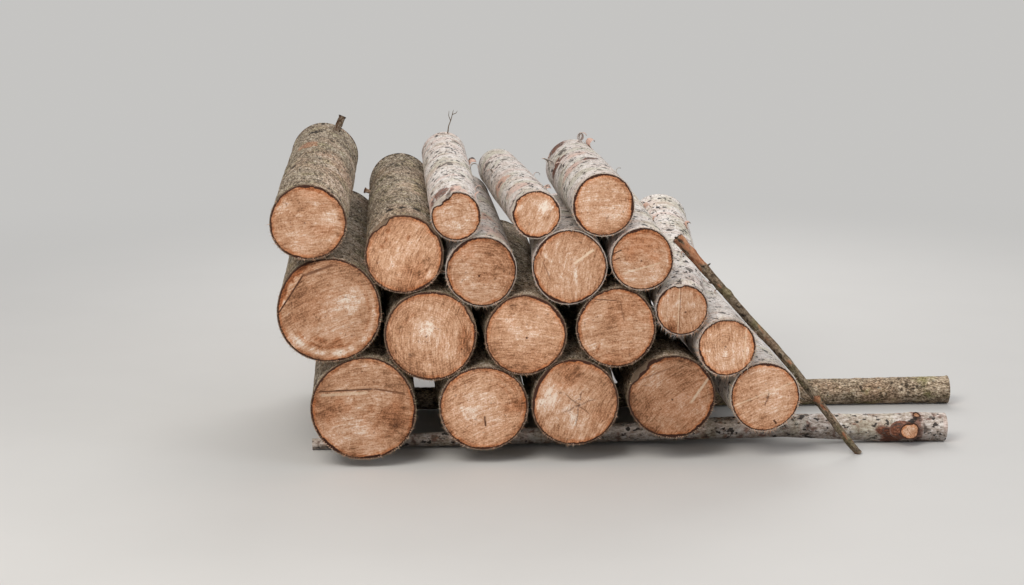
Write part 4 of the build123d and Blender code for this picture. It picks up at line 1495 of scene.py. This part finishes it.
# %% [markdown]
# ## Loose rolls of bark
# Birch paper lifts off in strips that roll up. A strip is a thin sheet with two faces whose bend
# grows along its length and which gets narrower and frayed towards its tip. The inner face is
# the pinker one.

# %% One strip
strip_steps = 18
strip_columns = 6
strip_thickness = 0.0009
strip_sunk, ripple_height = 0.0015, 0.0007


def strip(patch, log, turn, behind, length, width, roll, lean, seed):
    y = float(log.low.y) + behind
    turn, lean = math.radians(turn), math.radians(lean)
    rim = log.reach(np.full(len(log.turns), y))
    reach = float(np.interp(turn % (2 * math.pi), log.turns, rim))
    normal = np.array((math.cos(turn), 0.0, math.sin(turn)))
    across = np.array((-math.sin(turn), 0.0, math.cos(turn)))
    way = math.cos(lean) * across + math.sin(lean) * np.array((0.0, 1.0, 0.0))
    side = np.cross(normal, way)
    spot = log.spot(y) + (reach - strip_sunk) * normal
    random = np.random.default_rng(seed)
    cross = np.linspace(-1, 1, strip_columns)[:, None]
    rows = []
    for share in np.arange(strip_steps + 1) / strip_steps:
        bend = math.radians(roll) * share**1.3
        ahead = math.cos(bend) * way + math.sin(bend) * normal
        up = -math.sin(bend) * way + math.cos(bend) * normal
        ragged = random.uniform(0.85, 1.1) * (1 - share**8 * 0.9)
        half = 0.5 * width * (1 - 0.45 * share) * ragged
        ripple = ripple_height * np.sin(7 * cross + 3 * share + seed)
        under = spot + half * cross * side + ripple * up
        top = under + strip_thickness * (1 - 0.7 * share) * up
        rows.append(np.concatenate([top, under[::-1]]))
        spot = spot + length / strip_steps * ahead
    points = np.array(rows)
    inner = np.repeat([0.0, 0.9], strip_columns) + np.zeros(points.shape[:2])
    patch.grid(points, 0, False, height=0.9, lay=points + seed, pale=inner, tone=1.0)


print("a strip has", (strip_steps + 1) * 2 * strip_columns, "points")

# %% [markdown]
# Twenty-four strips hang on the birch logs, most of them at the top right, where the bark was
# loosest: turn round the log, distance behind its front, length, width, how far it rolls up, and
# how it leans along the log.

# %% Loose birch bark
strips = [
    ("top_log_2", (118, 0.012, 0.026, 0.055, 60, 175), (15, 0.60, 0.050, 0.060, 230, 10),
     (8, 0.74, 0.040, 0.050, 190, -15), (20, 0.22, 0.040, 0.055, 210, 12),
     (150, 0.03, 0.022, 0.040, 160, 165), (32, 0.06, 0.034, 0.035, 190, 0)),
    ("top_log_3", (25, 0.55, 0.040, 0.055, 220, 8), (12, 0.35, 0.036, 0.045, 180, -10),
     (40, 0.18, 0.026, 0.040, 180, 15), (152, 0.62, 0.034, 0.040, 220, 170)),
    ("top_log_4", (70, 0.93, 0.070, 0.050, 250, 20), (55, 0.90, 0.055, 0.045, 240, -20),
     (85, 0.95, 0.050, 0.035, 180, 160), (38, 0.28, 0.030, 0.040, 170, 10),
     (165, 0.70, 0.050, 0.050, 150, 170), (150, 0.52, 0.040, 0.045, 200, 175),
     (172, 0.86, 0.045, 0.040, 120, 165)),
    ("third_row_log_4", (30, 0.45, 0.044, 0.060, 220, 12), (22, 0.65, 0.040, 0.050, 230, -8),
     (45, 0.25, 0.026, 0.040, 180, 0)),
    ("third_row_log_2", (60, 0.12, 0.030, 0.035, 230, 10)),
    ("third_row_log_5", (70, 0.30, 0.028, 0.034, 240, 5)),
    ("second_row_log_5", (60, 0.40, 0.028, 0.034, 240, 8)),
    ("third_row_log_5", (40, 0.70, 0.036, 0.050, 220, -5))]
first_strip_seed = 40
loose = Patchwork()
hung = [(logs[node], *facts) for node, *rows in strips for facts in rows]
for seed, facts in enumerate(hung, first_strip_seed):
    strip(loose, *facts, seed)
loose.finish("loose_birch_bark", [birch_bark], "birch_log")

# %% [markdown]
# ## Twigs
# Thin dry twigs cling to the rear of a top log and to the pole. A twig is a narrow tube through a
# few places, each given as a step from where it grows, and it gets thinner towards its tip.

# %% One twig
twig_sides = 7
dry = Patchwork()


def twig(root, steps, radius, **paint):
    spots = root + np.array([(0.0, 0.0, 0.0), *steps])
    shares = np.linspace(0, 1, 4 * len(spots))
    places = np.linspace(0, 1, len(spots))
    path = np.stack([np.interp(shares, places, column) for column in spots.T], 1)
    ways = np.gradient(path, axis=0)
    ways /= np.linalg.norm(ways, axis=1)[:, None]
    sides = np.cross(ways, (0.31, 0.87, 0.2))
    sides /= np.linalg.norm(sides, axis=1)[:, None]
    others = np.cross(ways, sides)
    turns = (2 * np.pi * np.arange(twig_sides) / twig_sides)[:, None]
    thick = radius * (1 - 0.6 * shares) * np.where(shares > 0.99, 0.1, 1.0)
    ring = np.cos(turns) * sides[:, None] + np.sin(turns) * others[:, None]
    points = path[:, None] + thick[:, None, None] * ring
    dry.grid(points, 0, False, lay=points + 3.0, height=0.6, **paint)


print("a twig has", twig_sides, "sides")

# %% [markdown]
# One branched twig stands at the rear of the second top log. The pole has five, most of them
# snapped off short.

# %% Twigs
rear_top = logs["top_log_2"]
root = rear_top.spot(float(rear_top.high.y) - 0.03) + (0.012, 0.0, 0.066)
twig(root, [(0.004, 0.0, 0.028), (0.012, -0.004, 0.050), (0.020, -0.006, 0.082)], 0.0022, tone=0.8)
twig(root + (0.010, -0.003, 0.046), [(-0.006, 0.003, 0.016), (-0.004, 0.007, 0.032)], 0.0014,
     tone=0.8)
twig(root + (0.016, -0.005, 0.066), [(0.012, 0.001, 0.004), (0.017, 0.003, 0.012)], 0.0014,
     tone=0.9)


def on_pole(share):
    return pole_stick.taken(np.array([share * pole_length]), pole_stick.path)[0]


twig(on_pole(0.86), [(0.012, -0.004, 0.012), (0.017, -0.005, 0.016)], 0.0040, tone=0.35)
twig(on_pole(0.80), [(-0.014, -0.010, -0.004), (-0.024, -0.012, 0.004)], 0.0026, tone=0.6)
twig(on_pole(0.28), [(0.020, -0.006, -0.004), (0.045, -0.008, -0.012), (0.062, -0.006, -0.012)],
     0.0018, tone=1.1)
twig(on_pole(0.26), [(0.010, -0.008, -0.012), (0.026, -0.010, -0.016)], 0.0022, tone=0.9,
     stain=0.8)
twig(on_pole(0.985), [(-0.010, -0.004, 0.010), (-0.018, -0.006, 0.014)], 0.0060, tone=0.3)
dry.finish("dry_twigs", [pole_bark], "thin_pole")
